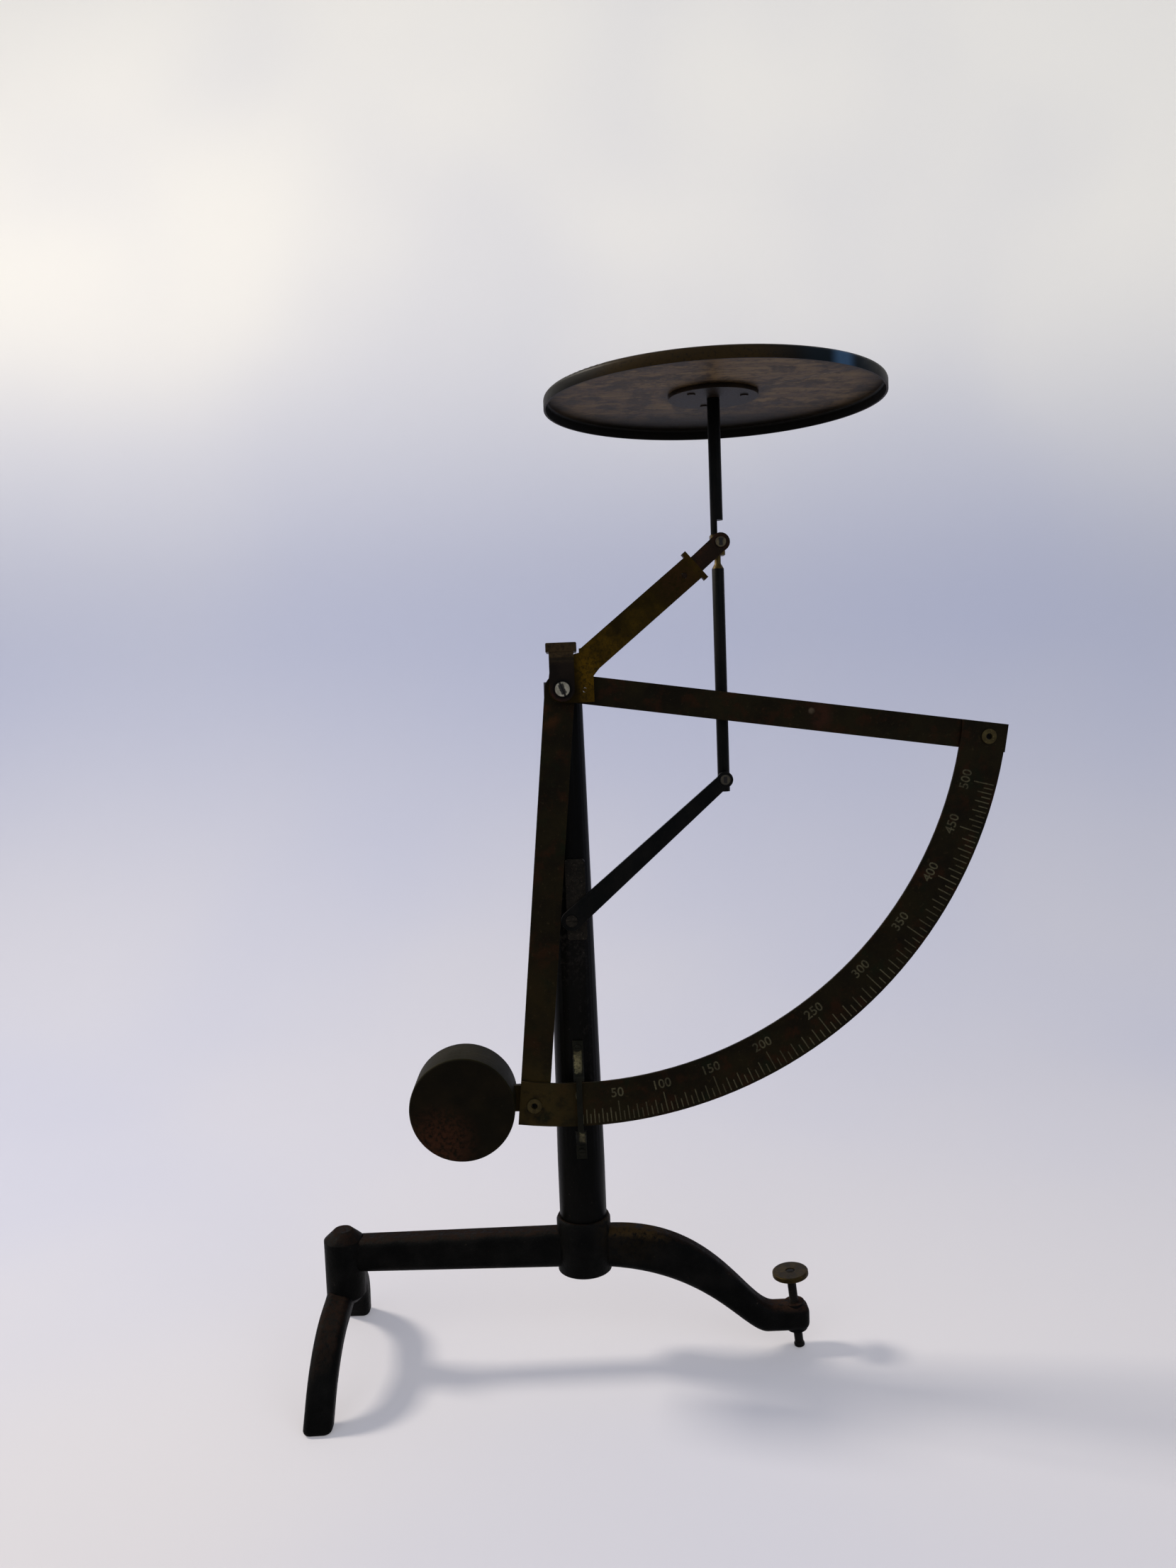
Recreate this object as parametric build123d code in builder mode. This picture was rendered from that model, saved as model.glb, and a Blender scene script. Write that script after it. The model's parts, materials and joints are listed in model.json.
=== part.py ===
from build123d import *
from math import atan2, cos, radians, sin, sqrt
import os

# A quadrant letter scale with its pan empty. Millimetres; +X to the right of the dial, +Y away from
# the reader, +Z up. The origin is on the table, under the middle of the whole object.

# Fits
fixed_fit = 0.05
running_fit = 0.05
face_play = 0.1
end_play = 0.3

# Main sizes of the mechanism
pivot_height = 240.6
crank_length = 71.2
crank_angle = 40.7
link_drop = 79.2
pan_rise = 50.4

# Depths behind the middle of the beam's bars
rod_depth = 5.9
stand_depth = 11.6

# Bars of the beam: fall and lean are in degrees, from level and from upright
bar_thickness = 1.6
top_bar_width = 9.5
top_bar_beyond = 0.7
top_bar_start = 5.0
top_bar_rise = 0.6
top_bar_fall = 8.7
side_bar_width = 10.2
side_bar_inset = 2.4
side_bar_shift = 0.9
side_bar_lean = 5.75

# Graduated quadrant
quadrant_radius = 150.1
quadrant_width = 15.15
quadrant_thickness = 1.0
top_rivet_inset = 5.8
side_rivet_inset = 7.1

# Hub and arm
casting_thickness = 3.2
hub_radius = 4.6
hub_right = 10.5
hub_shoulder = 4.0
hub_top = 13.2
hub_top_left = 5.9
hub_clear = 4.3
hub_clear_height = 11.5
hub_step = 11.8
arm_root = 13.6
arm_root_above = 5.8
arm_root_below = 3.3
arm_end = 60.4
arm_half_width = 4.4
arm_horn = 1.3
arm_horn_length = 1.6
tongue_width = 5.9
tongue_thickness = 1.4
tongue_socket = 11.0
eye_radius = 3.1
hub_rivet_front = 7.4
hub_rivet_back = 3.45
hub_rivet_radius = 0.7
tongue_rivet_radius = 0.9

# Main pivots
arbor_radius = 2.3
arbor_collar_radius = 3.3
arbor_collar = 0.9
pivot_radius = 1.0
pivot_length = 2.8
pivot_shank_radius = 1.5
pivot_head_radius = 2.5
pivot_head_height = 1.2
screw_slot = 0.7

# Yoke on the column
cheek_half_width = 4.1
cheek_thickness = 2.0
cap_half_width = 5.1
cap_bottom = 12.3
cap_thickness = 3.0
cap_edge = 0.5
cap_overhang = 0.3
yoke_back = 5.0
yoke_corner = 2.4
yoke_spigot_radius = 3.0
yoke_spigot_length = 14.0
yoke_screw_radius = 1.2
yoke_screw_drop = 7.0

# Column and its boss
column_above_pivot = 2.5
column_foot_radius = 8.35
column_top_radius = 6.5
column_straight_top = 74.0
column_spigot_radius = 5.4
column_spigot_length = 15.0
boss_radius = 9.6
boss_seat = 52.0
boss_lip = 1.1
boss_bottom = 33.6
boss_dome = 2.0
column_screw_radius = 2.5
column_screw_head = 4.4
column_screw_sink = 2.6
column_screw_length = 24.0

# Cast base: bar, front leg and its screw pad
casting_depth = 9.0
casting_edge = 2.8
bar_top = 48.4
bar_left_bottom = 36.6
bar_right_bottom = 34.8
front_leg_reach = 80.0
pad_length = 12.0
heel_length = 15.0
pad_top = 16.8
pad_bottom = 7.4
crest_pull = 38.4
crest_end_pull = 10.0
belly_pull = 44.0
belly_end_pull = 9.5
collar_radius = 3.6
collar_height = 0.4

# Cross-head and the two fixed feet
cross_distance = 86.0
cross_radius = 6.9
cross_shoulder = 47.9
cross_top = 51.3
cross_bottom = 25.4
cross_bottom_rise = 2.2
cross_flat_radius = 3.2
cross_spigot_radius = 3.6
cross_spigot_length = 10.0
leg_screw_radius = 1.8
leg_screw_head = 2.8
leg_screw_sink = 2.0
leg_screw_length = 20.0
foot_width = 9.6
foot_height = 7.4
foot_edge = 2.6
foot_shift = 1.6
foot_splay = 2.3
foot_root = 27.4
foot_run = 13.5
foot_start_fall = 8.0
foot_end_fall = 70.0
foot_bend = 26.0
foot_toe_edge = 1.5

# Levelling screw
levelling_lean = 5.8
levelling_reach = 76.6
levelling_radius = 1.6
tip_radius = 1.9
tip_height = 1.2
tip_round = 3.0
thumb_height = 27.9
thumb_radius = 6.35
thumb_thickness = 1.9
thumb_edge = 0.5

# Pan
pan_radius = 56.7
pan_sheet = 0.65
pan_lip = 4.2
pan_corner = 1.5
flange_radius = 15.0
flange_thickness = 1.5
flange_rivet_radius = 0.9
flange_rivet_circle = 10.5
flange_rivet_count = 3
flange_rivet_turn = 100.0
flange_rivet_head = 1.4
flange_rivet_height = 0.4

# Upright rods and their joint
stem_radius = 2.1
tenon_radius = 1.2
stem_flat_top = 8.2
stem_flat_depth = 2.2
stem_seat = 1.3
knuckle_width = 4.8
knuckle_edge = 0.9
knuckle_above = 3.2
knuckle_below = 3.6
neck_radius = 1.05
neck_length = 2.6
neck_flare = 1.8
neck_spigot_radius = 0.8
neck_spigot_length = 4.0
rod_radius = 2.05
rod_below_pin = 4.2
pin_radius = 0.9
pin_head_radius = 1.8
pin_head_height = 0.6
low_pin_head_height = 0.5
pin_tail = 0.3
spacer_radius = 1.7

# Lower link and its stud
link_thickness = 1.5
link_back = 3.4
link_root_radius = 3.5
link_eye_radius = 2.75
link_half_width = 2.4
link_eye_play = 0.1
stud_radius = 1.2
stud_head_radius = 2.0
stud_head_height = 0.6
stud_length = 5.0
plate_left = 1.6
plate_right = 5.2
plate_above = 21.0
plate_below = 7.0
plate_edge = 1.2
plate_screw_inset = 2.6
small_screw_radius = 0.7
small_screw_head = 1.2
small_screw_head_height = 0.5
small_screw_length = 3.5
small_screw_slot = 0.3

# Balance weight and its strap
weight_radius = 17.9
weight_thickness = 18.0
weight_edge = 0.8
weight_left = 39.4
weight_rise = 9.8
strap_height = 9.2
strap_thickness = 2.0
strap_right = 10.4
strap_in_weight = 9.0
strap_corner = 2.0
strap_screw_radius = 1.0
strap_screw_inset = 5.0
strap_screw_head = 1.8
strap_screw_sink = 1.3
strap_screw_length = 8.5

# Pointer
pointer_shift = 0.4
pointer_width = 3.6
pointer_waist = 2.0
pointer_thickness = 0.8
pointer_gap = 0.9
pointer_margin = 2.4
pointer_slope = 6.0
pointer_foot = 5.0
pointer_bend = 0.8

# Tubular rivets of the quadrant
tube_radius = 1.6
tube_bore = 1.0
tube_head_radius = 2.55
tube_head = 0.5
tube_tail_radius = 2.2

# Places that follow from the sizes
top_bar_end = quadrant_radius + top_bar_beyond
side_bar_end = quadrant_radius - side_bar_inset
weight_drop = quadrant_radius - weight_rise
top_edge = top_bar_rise + top_bar_width / 2
top_bar_corner = top_bar_end * cos(radians(top_bar_fall)) + top_edge * sin(radians(top_bar_fall))
foot_corner = cross_distance + foot_shift + foot_splay + foot_width / 2
column_x = (foot_corner - top_bar_corner) / 2
beam_y = -rod_depth
stand_y = stand_depth - rod_depth
side_bar_angle = -90.0 - side_bar_lean
quadrant_inner = quadrant_radius - quadrant_width

rod_x = column_x + crank_length * cos(radians(crank_angle))
upper_pin_z = pivot_height + crank_length * sin(radians(crank_angle))
lower_pin_z = upper_pin_z - link_drop
link_pivot_z = pivot_height - link_drop
pan_z = upper_pin_z + pan_rise
cross_x = column_x - cross_distance
pad_start = front_leg_reach - pad_length
heel_start = front_leg_reach - heel_length
column_top = pivot_height + column_above_pivot
spigot_z = (bar_top + bar_left_bottom) / 2

bar_front = -bar_thickness / 2
bar_back = bar_thickness / 2
casting_front = bar_front - casting_thickness
tongue_back = bar_front - (casting_thickness - tongue_thickness) / 2
tongue_front = tongue_back - tongue_thickness
quadrant_front = bar_front - quadrant_thickness
strap_back = bar_back + strap_thickness
link_front = link_back - link_thickness
cheek_back = casting_front - arbor_collar - end_play
knuckle_front = rod_depth - knuckle_width / 2
knuckle_back = rod_depth + knuckle_width / 2

pointer_x = column_x + pointer_shift
pointer_depth = quadrant_front - pointer_gap - pointer_thickness / 2
upper_bend = pivot_height - quadrant_inner + pointer_margin
lower_bend = pivot_height - quadrant_radius - pointer_margin
upper_foot = upper_bend + pointer_slope
lower_foot = lower_bend - pointer_slope
column_taper = (column_foot_radius - column_top_radius) / (column_top - column_straight_top)
pointer_screw_heights = (upper_foot + pointer_foot / 2, lower_foot - pointer_foot / 2)
plate_screw_heights = (
    link_pivot_z + plate_above - plate_screw_inset,
    link_pivot_z + plate_above - 3 * plate_screw_inset,
)
plate_x = column_x + (plate_right - plate_left) / 2

screw_tilt = radians(levelling_lean)
screw_up = (-sin(screw_tilt), 0, cos(screw_tilt))


def column_radius(height):
    """Radius of the tapered column at a height above the table."""
    share = max(height - column_straight_top, 0.0) / (column_top - column_straight_top)
    return column_foot_radius - share * (column_foot_radius - column_top_radius)


def column_front(height):
    """Depth of the column's front at a height."""
    return stand_depth - column_radius(height)


rear_cheek_back = column_front(pivot_height - cheek_half_width) - fixed_fit
rear_cheek_front = rear_cheek_back - cheek_thickness
plate_front = link_back + face_play


def beam_view(depth, angle=0.0):
    """Front view of the beam at one depth: its origin is the pivot and its first axis lies at an angle."""
    turn = radians(angle)
    return Plane(
        origin=(column_x, beam_y + depth, pivot_height),
        x_dir=(cos(turn), 0, sin(turn)),
        z_dir=(0, -1, 0),
    )


def front_of(x, depth, z):
    """Plane that faces the reader, with its origin at a place and a depth."""
    return Plane(origin=(x, beam_y + depth, z), x_dir=(1, 0, 0), z_dir=(0, -1, 0))


def back_of(x, depth, z):
    """Plane that faces away from the reader."""
    return Plane(origin=(x, beam_y + depth, z), x_dir=(-1, 0, 0), z_dir=(0, 1, 0))


def under(x, z):
    """Plane in the middle of the stand that faces down."""
    return Plane(origin=(x, stand_y, z), x_dir=(1, 0, 0), z_dir=(0, 0, -1))


def foot_point(height):
    """Middle of the pointer's thickness where it lies on the column."""
    return (column_front(height) - pointer_thickness / 2, height)


def on_column(height, lift):
    """Plane of the pointer's feet: it lies on the column's front, tilted with the taper."""
    foot = Plane(
        origin=(pointer_x, beam_y + column_front(height), height),
        x_dir=(1, 0, 0),
        z_dir=(0, -1, column_taper),
    )
    return foot.offset(lift)


def along(angle, distance, aside=0.0):
    """Point of the beam's front view at a distance along a direction, and aside from it."""
    turn = radians(angle)
    return (
        distance * cos(turn) - aside * sin(turn),
        distance * sin(turn) + aside * cos(turn),
    )


def on_beam(depth, point):
    """Plane that faces the reader at a point of the beam's front view."""
    return front_of(column_x + point[0], depth, pivot_height + point[1])


def cylinder(plane, radius, length):
    """Adds a round bar that stands on a plane, or hangs from it where the length is negative."""
    with BuildSketch(plane) as disc:
        Circle(radius)
    extrude(disc.sketch, amount=length)


def headed(plane, radius, length, head_radius, head_height, slot=0.0):
    """Adds a screw whose head stands on a plane, with its shank behind the plane."""
    cylinder(plane, radius, -length)
    cylinder(plane, head_radius, head_height)
    if slot:
        with BuildSketch(plane.offset(head_height)) as slot_sketch:
            Rectangle(2 * head_radius, slot)
        extrude(slot_sketch.sketch, amount=-head_height / 2, mode=Mode.SUBTRACT)


# Cast base: one outline for bar and front leg, then the boss and the holes
bar_slope = (bar_left_bottom - bar_right_bottom) / cross_distance
stand_front = front_of(column_x, stand_depth + casting_depth / 2, 0)
stand_middle = front_of(column_x, stand_depth, 0)
screw_plane = Plane(
    origin=(column_x + levelling_reach, stand_y, 0), x_dir=(0, 1, 0), z_dir=screw_up
)
with BuildPart() as base_casting:
    with BuildSketch(stand_front):
        with BuildLine():
            Line((-cross_distance, bar_top), (boss_radius, bar_top))
            Bezier(
                (boss_radius, bar_top),
                (boss_radius + crest_pull, bar_top),
                (pad_start - crest_end_pull, pad_top),
                (pad_start, pad_top),
            )
            Polyline(
                (pad_start, pad_top),
                (front_leg_reach, pad_top),
                (front_leg_reach, pad_bottom),
                (heel_start, pad_bottom),
            )
            Bezier(
                (heel_start, pad_bottom),
                (heel_start - belly_end_pull, pad_bottom),
                (belly_pull, bar_right_bottom - bar_slope * belly_pull),
                (0, bar_right_bottom),
            )
            Polyline(
                (0, bar_right_bottom),
                (-cross_distance, bar_left_bottom),
                (-cross_distance, bar_top),
            )
        make_face()
    extrude(amount=casting_depth)
    tip_edges = base_casting.edges().filter_by(Axis.Z).group_by(Axis.X)[-1]
    fillet(tip_edges, casting_edge)
    rims = base_casting.faces().filter_by(Axis.Y).edges()
    fillet(rims.filter_by(Axis.Z, reverse=True), casting_edge)
    with BuildSketch(stand_middle):
        with BuildLine():
            rim = Polyline(
                (0, boss_bottom - boss_dome),
                (0, boss_seat + boss_lip),
                (boss_radius - boss_lip / 2, boss_seat + boss_lip),
                (boss_radius, boss_seat),
                (boss_radius, boss_bottom),
            )
            RadiusArc(rim @ 1, rim @ 0, (boss_radius**2 + boss_dome**2) / (2 * boss_dome))
        make_face()
    revolve(axis=Axis((column_x, stand_y, 0), (0, 0, 1)))
    # Round seat against the cross-head, and the spigot that goes into it
    with BuildSketch(Plane.XY):
        with Locations((cross_x, stand_y)):
            Circle(cross_radius + fixed_fit)
    extrude(amount=pivot_height, mode=Mode.SUBTRACT)
    cylinder(
        Plane(origin=(cross_x + cross_spigot_length, stand_y, spigot_z), z_dir=(-1, 0, 0)),
        cross_spigot_radius,
        cross_spigot_length + leg_screw_head,
    )
    with Locations((cross_x, stand_y, cross_top)):
        Hole(leg_screw_radius + fixed_fit)
    # Collars round the levelling screw
    cylinder(
        screw_plane.offset(pad_bottom - collar_height),
        collar_radius,
        pad_top - pad_bottom + 2 * collar_height,
    )
    with Locations(screw_plane.offset(boss_seat)):
        Hole(levelling_radius + running_fit)
    # Socket of the column and the screw under it
    with Locations((column_x, stand_y, boss_seat + boss_lip)):
        CounterBoreHole(
            radius=column_spigot_radius + fixed_fit,
            counter_bore_radius=column_foot_radius + fixed_fit,
            counter_bore_depth=boss_lip,
            depth=boss_lip + column_spigot_length,
        )
    with Locations(under(column_x, boss_bottom - boss_dome)):
        CounterBoreHole(
            radius=column_screw_radius + fixed_fit,
            counter_bore_radius=column_screw_head + fixed_fit,
            counter_bore_depth=column_screw_sink,
            depth=boss_seat - boss_bottom,
        )
base_casting.part.label = "base_casting"

# Cross-head with its two feet: one foot is swept, cut level and mirrored
foot_tilt = atan2(foot_splay, foot_root)
foot_plane = Plane(
    origin=(cross_x - foot_shift, stand_y, foot_root),
    x_dir=(0, -1, 0),
    z_dir=(-cos(foot_tilt), 0, sin(foot_tilt)),
)
start_fall = radians(foot_start_fall)
with BuildPart() as leg_casting:
    with BuildLine(foot_plane) as foot_path:
        root = Line((0, 0), (foot_run * cos(start_fall), -foot_run * sin(start_fall)))
        bend = JernArc(root @ 1, root % 1, foot_bend, foot_start_fall - foot_end_fall)
        Line(bend @ 1, bend @ 1 + (bend % 1) * foot_root)
    with BuildSketch(Plane(origin=root @ 0, z_dir=root % 0, x_dir=foot_plane.z_dir)):
        RectangleRounded(foot_width, foot_height, foot_edge)
    sweep()
    split(bisect_by=Plane.XY, keep=Keep.TOP)
    fillet(leg_casting.faces().sort_by(Axis.Z)[0].edges(), foot_toe_edge)
    mirror(about=Plane.XZ.offset(-stand_y))
    with BuildSketch(front_of(cross_x, stand_depth, 0)):
        with BuildLine():
            Polyline(
                (0, cross_bottom),
                (0, cross_top),
                (cross_flat_radius, cross_top),
                (cross_radius, cross_shoulder),
                (cross_radius, cross_bottom + cross_bottom_rise),
                (cross_radius - cross_bottom_rise, cross_bottom),
                close=True,
            )
        make_face()
    revolve(axis=Axis((cross_x, stand_y, 0), (0, 0, 1)))
    with Locations(Plane(origin=(cross_x + cross_radius, stand_y, spigot_z), z_dir=(1, 0, 0))):
        Hole(cross_spigot_radius + fixed_fit, depth=cross_radius + leg_screw_head + end_play)
    with Locations(under(cross_x, cross_bottom)):
        CounterBoreHole(
            radius=leg_screw_radius + fixed_fit,
            counter_bore_radius=leg_screw_head + fixed_fit,
            counter_bore_depth=leg_screw_sink,
            depth=leg_screw_length + end_play,
        )
leg_casting.part.label = "leg_casting"

with BuildPart() as leg_screw:
    headed(
        under(cross_x, cross_bottom + leg_screw_sink),
        leg_screw_radius,
        leg_screw_length - leg_screw_sink,
        leg_screw_head,
        leg_screw_sink - end_play,
        screw_slot,
    )
leg_screw.part.label = "leg_screw"

# Column with its threaded holes
with BuildPart() as column:
    with BuildSketch(stand_middle):
        with BuildLine():
            Polyline(
                (0, boss_seat - column_spigot_length),
                (column_spigot_radius, boss_seat - column_spigot_length),
                (column_spigot_radius, boss_seat),
                (column_foot_radius, boss_seat),
                (column_foot_radius, column_straight_top),
                (column_top_radius, column_top),
                (0, column_top),
                close=True,
            )
        make_face()
    revolve(axis=Axis((column_x, stand_y, 0), (0, 0, 1)))
    with Locations((column_x, stand_y, column_top)):
        Hole(yoke_spigot_radius + fixed_fit, depth=yoke_spigot_length + end_play)
    with Locations(under(column_x, boss_seat - column_spigot_length)):
        Hole(column_screw_radius + fixed_fit, depth=column_screw_length)
    with Locations(back_of(column_x, stand_depth + column_foot_radius, column_top - yoke_screw_drop)):
        Hole(yoke_screw_radius + fixed_fit, depth=column_foot_radius)
    with Locations(front_of(column_x, column_front(link_pivot_z), link_pivot_z)):
        Hole(stud_radius + fixed_fit, depth=stud_length + end_play)
    for height in pointer_screw_heights:
        with Locations(on_column(height, pointer_thickness)):
            Hole(small_screw_radius + fixed_fit, depth=pointer_thickness + small_screw_length + end_play)
    for height in plate_screw_heights:
        with Locations(front_of(plate_x, plate_front, height)):
            Hole(small_screw_radius + fixed_fit, depth=small_screw_length + end_play)
column.part.label = "column"

with BuildPart() as column_screw:
    headed(
        under(column_x, boss_bottom - boss_dome + column_screw_sink),
        column_screw_radius,
        column_screw_length,
        column_screw_head,
        column_screw_sink - end_play,
        screw_slot,
    )
column_screw.part.label = "column_screw"


def cheek(depth):
    """Adds one rounded cheek of the yoke, from the cap down round the pivot."""
    with BuildSketch(beam_view(depth)) as outline:
        Circle(cheek_half_width)
        with Locations((0, cap_bottom / 2)):
            Rectangle(2 * cheek_half_width, cap_bottom)
    extrude(outline.sketch, amount=cheek_thickness)


# Yoke: two cheeks, a block on the column, the cap and a spigot
cheek_front = cheek_back - cheek_thickness
with BuildPart() as head_bracket:
    cheek(cheek_back)
    cheek(rear_cheek_back)
    with BuildSketch(beam_view(stand_depth + yoke_back)):
        with Locations((0, (column_above_pivot + cap_bottom) / 2)):
            Rectangle(2 * cheek_half_width, cap_bottom - column_above_pivot)
    extrude(amount=stand_depth + yoke_back - rear_cheek_front)
    fillet(head_bracket.edges().filter_by(Axis.Z).group_by(Axis.Y)[-1], yoke_corner)
    with BuildSketch(Plane.XY.offset(pivot_height + cap_bottom)):
        with Locations((column_x, beam_y + (cheek_front + stand_depth + yoke_back) / 2)):
            Rectangle(2 * cap_half_width, stand_depth + yoke_back - cheek_front + 2 * cap_overhang)
    extrude(amount=cap_thickness)
    fillet(head_bracket.faces().sort_by(Axis.Z)[-1].edges(), cap_edge)
    with Locations(on_beam(cheek_front, (0, 0))):
        Hole(pivot_shank_radius + fixed_fit)
    cylinder(
        Plane(origin=(column_x, stand_y, column_top), z_dir=(0, 0, -1)),
        yoke_spigot_radius,
        yoke_spigot_length,
    )
head_bracket.part.label = "head_bracket"

with BuildPart() as head_screw:
    reach = column_radius(column_top - yoke_screw_drop)
    cylinder(
        back_of(column_x, stand_depth + yoke_spigot_radius, column_top - yoke_screw_drop),
        yoke_screw_radius,
        reach - yoke_spigot_radius - face_play,
    )
    with BuildSketch(back_of(column_x, stand_depth + reach - face_play, column_top - yoke_screw_drop)):
        Rectangle(2 * yoke_screw_radius, screw_slot / 2)
    extrude(amount=-screw_slot, mode=Mode.SUBTRACT)
head_screw.part.label = "head_screw"

# Pivots: a slotted screw in the front cheek, a pressed pin in the rear one
with BuildPart() as front_pivot_screw:
    headed(
        on_beam(cheek_front, (0, 0)),
        pivot_shank_radius,
        cheek_thickness,
        pivot_head_radius,
        pivot_head_height,
        screw_slot,
    )
    cylinder(on_beam(cheek_back, (0, 0)), pivot_radius, -pivot_length)
front_pivot_screw.part.label = "front_pivot_screw"

with BuildPart() as rear_pivot_pin:
    cylinder(on_beam(rear_cheek_back, (0, 0)), pivot_shank_radius, cheek_thickness)
    cylinder(on_beam(rear_cheek_front, (0, 0)), pivot_radius, pivot_length)
rear_pivot_pin.part.label = "rear_pivot_pin"

# Pointer: a strip bent round the quadrant, narrower where it crosses the graduation
pointer_side = Plane(origin=(pointer_x, beam_y, 0), x_dir=(0, 1, 0), z_dir=(1, 0, 0))
with BuildPart() as index_pointer:
    with BuildLine(pointer_side) as pointer_path:
        FilletPolyline(
            foot_point(upper_foot + pointer_foot),
            foot_point(upper_foot),
            (pointer_depth, upper_bend),
            (pointer_depth, lower_bend),
            foot_point(lower_foot),
            foot_point(lower_foot - pointer_foot),
            radius=pointer_bend,
        )
    with BuildSketch(
        Plane(origin=pointer_path.line @ 0, x_dir=(1, 0, 0), z_dir=pointer_path.line % 0)
    ):
        Rectangle(pointer_width, pointer_thickness)
    sweep()
    side_cut = (pointer_width - pointer_waist) / 2
    for side in (-1, 1):
        with BuildSketch(front_of(pointer_x, pointer_depth + pointer_thickness, 0)):
            with Locations((side * (pointer_waist + side_cut) / 2, (upper_bend + lower_bend) / 2)):
                Rectangle(side_cut, upper_bend - lower_bend - pointer_margin)
        extrude(amount=2 * pointer_thickness, mode=Mode.SUBTRACT)
    for height in pointer_screw_heights:
        with Locations(on_column(height, pointer_thickness)):
            Hole(small_screw_radius + fixed_fit, depth=2 * pointer_thickness)
index_pointer.part.label = "index_pointer"

with BuildPart() as index_screws:
    for height in pointer_screw_heights:
        headed(
            on_column(height, pointer_thickness),
            small_screw_radius,
            pointer_thickness + small_screw_length,
            small_screw_head,
            small_screw_head_height,
            small_screw_slot,
        )
index_screws.part.label = "index_screws"

# Pad on the column behind the lower link, hollow at the back, with its screws and the stud
with BuildPart() as link_plate:
    with BuildSketch(front_of(plate_x, plate_front, link_pivot_z)):
        with Locations((0, (plate_above - plate_below) / 2)):
            RectangleRounded(plate_left + plate_right, plate_above + plate_below, plate_edge)
    extrude(amount=-column_foot_radius)
    with BuildSketch(stand_middle):
        with BuildLine():
            Polyline(
                (0, column_straight_top),
                (column_foot_radius + fixed_fit, column_straight_top),
                (column_top_radius + fixed_fit, column_top),
                (0, column_top),
                close=True,
            )
        make_face()
    revolve(axis=Axis((column_x, stand_y, 0), (0, 0, 1)), mode=Mode.SUBTRACT)
    with Locations(front_of(column_x, plate_front, link_pivot_z)):
        Hole(stud_radius + fixed_fit)
    for height in plate_screw_heights:
        with Locations(front_of(plate_x, plate_front, height)):
            Hole(small_screw_radius + fixed_fit)
link_plate.part.label = "link_plate"

with BuildPart() as link_plate_screws:
    for height in plate_screw_heights:
        headed(
            front_of(plate_x, plate_front, height),
            small_screw_radius,
            small_screw_length,
            small_screw_head,
            small_screw_head_height,
            small_screw_slot,
        )
link_plate_screws.part.label = "link_plate_screws"

stud_seat = link_front - face_play
with BuildPart() as link_stud:
    headed(
        front_of(column_x, stud_seat, link_pivot_z),
        stud_radius,
        column_front(link_pivot_z) - stud_seat + stud_length,
        stud_head_radius,
        stud_head_height,
        small_screw_slot,
    )
link_stud.part.label = "link_stud"

# Points of the beam's front view
upper_pin = along(crank_angle, crank_length)
lower_pin = (upper_pin[0], upper_pin[1] - link_drop)
top_rivet = along(-top_bar_fall, quadrant_radius - top_rivet_inset, top_bar_rise)
side_rivet = along(side_bar_angle, quadrant_radius - side_rivet_inset, -side_bar_shift)
hub_rivets_at = (
    along(-top_bar_fall, hub_rivet_front, top_bar_rise),
    along(side_bar_angle, hub_rivet_back, 0),
)
tongue_rivet_at = along(crank_angle, arm_end - tongue_socket / 2)
arm_edge = along(crank_angle, arm_root, arm_root_above)
arm_under = along(crank_angle, arm_root, -arm_root_below)

# Casting of the beam: hub and arm in one piece, slotted at the end for the tongue
with BuildPart() as beam_casting:
    with BuildSketch(beam_view(bar_front)):
        Circle(hub_radius)
        with BuildLine():
            Polyline(
                (-hub_radius * sin(radians(crank_angle)), hub_radius * cos(radians(crank_angle))),
                (hub_clear, hub_clear_height),
                (hub_top_left, hub_step),
                (hub_top_left, hub_top),
                arm_edge,
                along(crank_angle, arm_end - arm_horn_length, arm_half_width),
                along(crank_angle, arm_end - arm_horn_length, arm_half_width + arm_horn),
                along(crank_angle, arm_end, arm_half_width + arm_horn),
                along(crank_angle, arm_end, -arm_half_width - arm_horn),
                along(crank_angle, arm_end - arm_horn_length, -arm_half_width - arm_horn),
                along(crank_angle, arm_end - arm_horn_length, -arm_half_width),
                arm_under,
                (hub_right, hub_shoulder),
                (hub_right, -hub_radius),
                (0, -hub_radius),
                close=True,
            )
        make_face()
    extrude(amount=casting_thickness)
    with BuildSketch(beam_view(bar_front)):
        Circle(arbor_radius + fixed_fit)
    extrude(amount=casting_thickness, mode=Mode.SUBTRACT)
    with BuildSketch(beam_view(tongue_back + fixed_fit, crank_angle)):
        with Locations((arm_end, 0)):
            Rectangle(2 * tongue_socket, tongue_width + 2 * fixed_fit)
    extrude(amount=tongue_thickness + 2 * fixed_fit, mode=Mode.SUBTRACT)
    for place in hub_rivets_at:
        with Locations(on_beam(casting_front, place)):
            Hole(hub_rivet_radius + fixed_fit)
    with Locations(on_beam(casting_front, tongue_rivet_at)):
        Hole(tongue_rivet_radius + fixed_fit)
beam_casting.part.label = "beam_casting"

with BuildPart() as beam_arbor:
    arbor_back = rear_cheek_front - end_play
    cylinder(on_beam(arbor_back, (0, 0)), arbor_radius, arbor_back - casting_front)
    cylinder(on_beam(casting_front, (0, 0)), arbor_collar_radius, arbor_collar)
    with Locations(on_beam(casting_front - arbor_collar, (0, 0))):
        Hole(pivot_radius + running_fit)
beam_arbor.part.label = "beam_arbor"


def top_bar_strip(depth, thickness, mode):
    """Adds or cuts the upper bar's whole outline, from one depth forward."""
    with BuildSketch(beam_view(depth, -top_bar_fall)) as outline:
        with Locations(((top_bar_end - top_bar_start) / 2, top_bar_rise)):
            Rectangle(top_bar_end + top_bar_start, top_bar_width)
    extrude(outline.sketch, amount=thickness, mode=mode)


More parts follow.
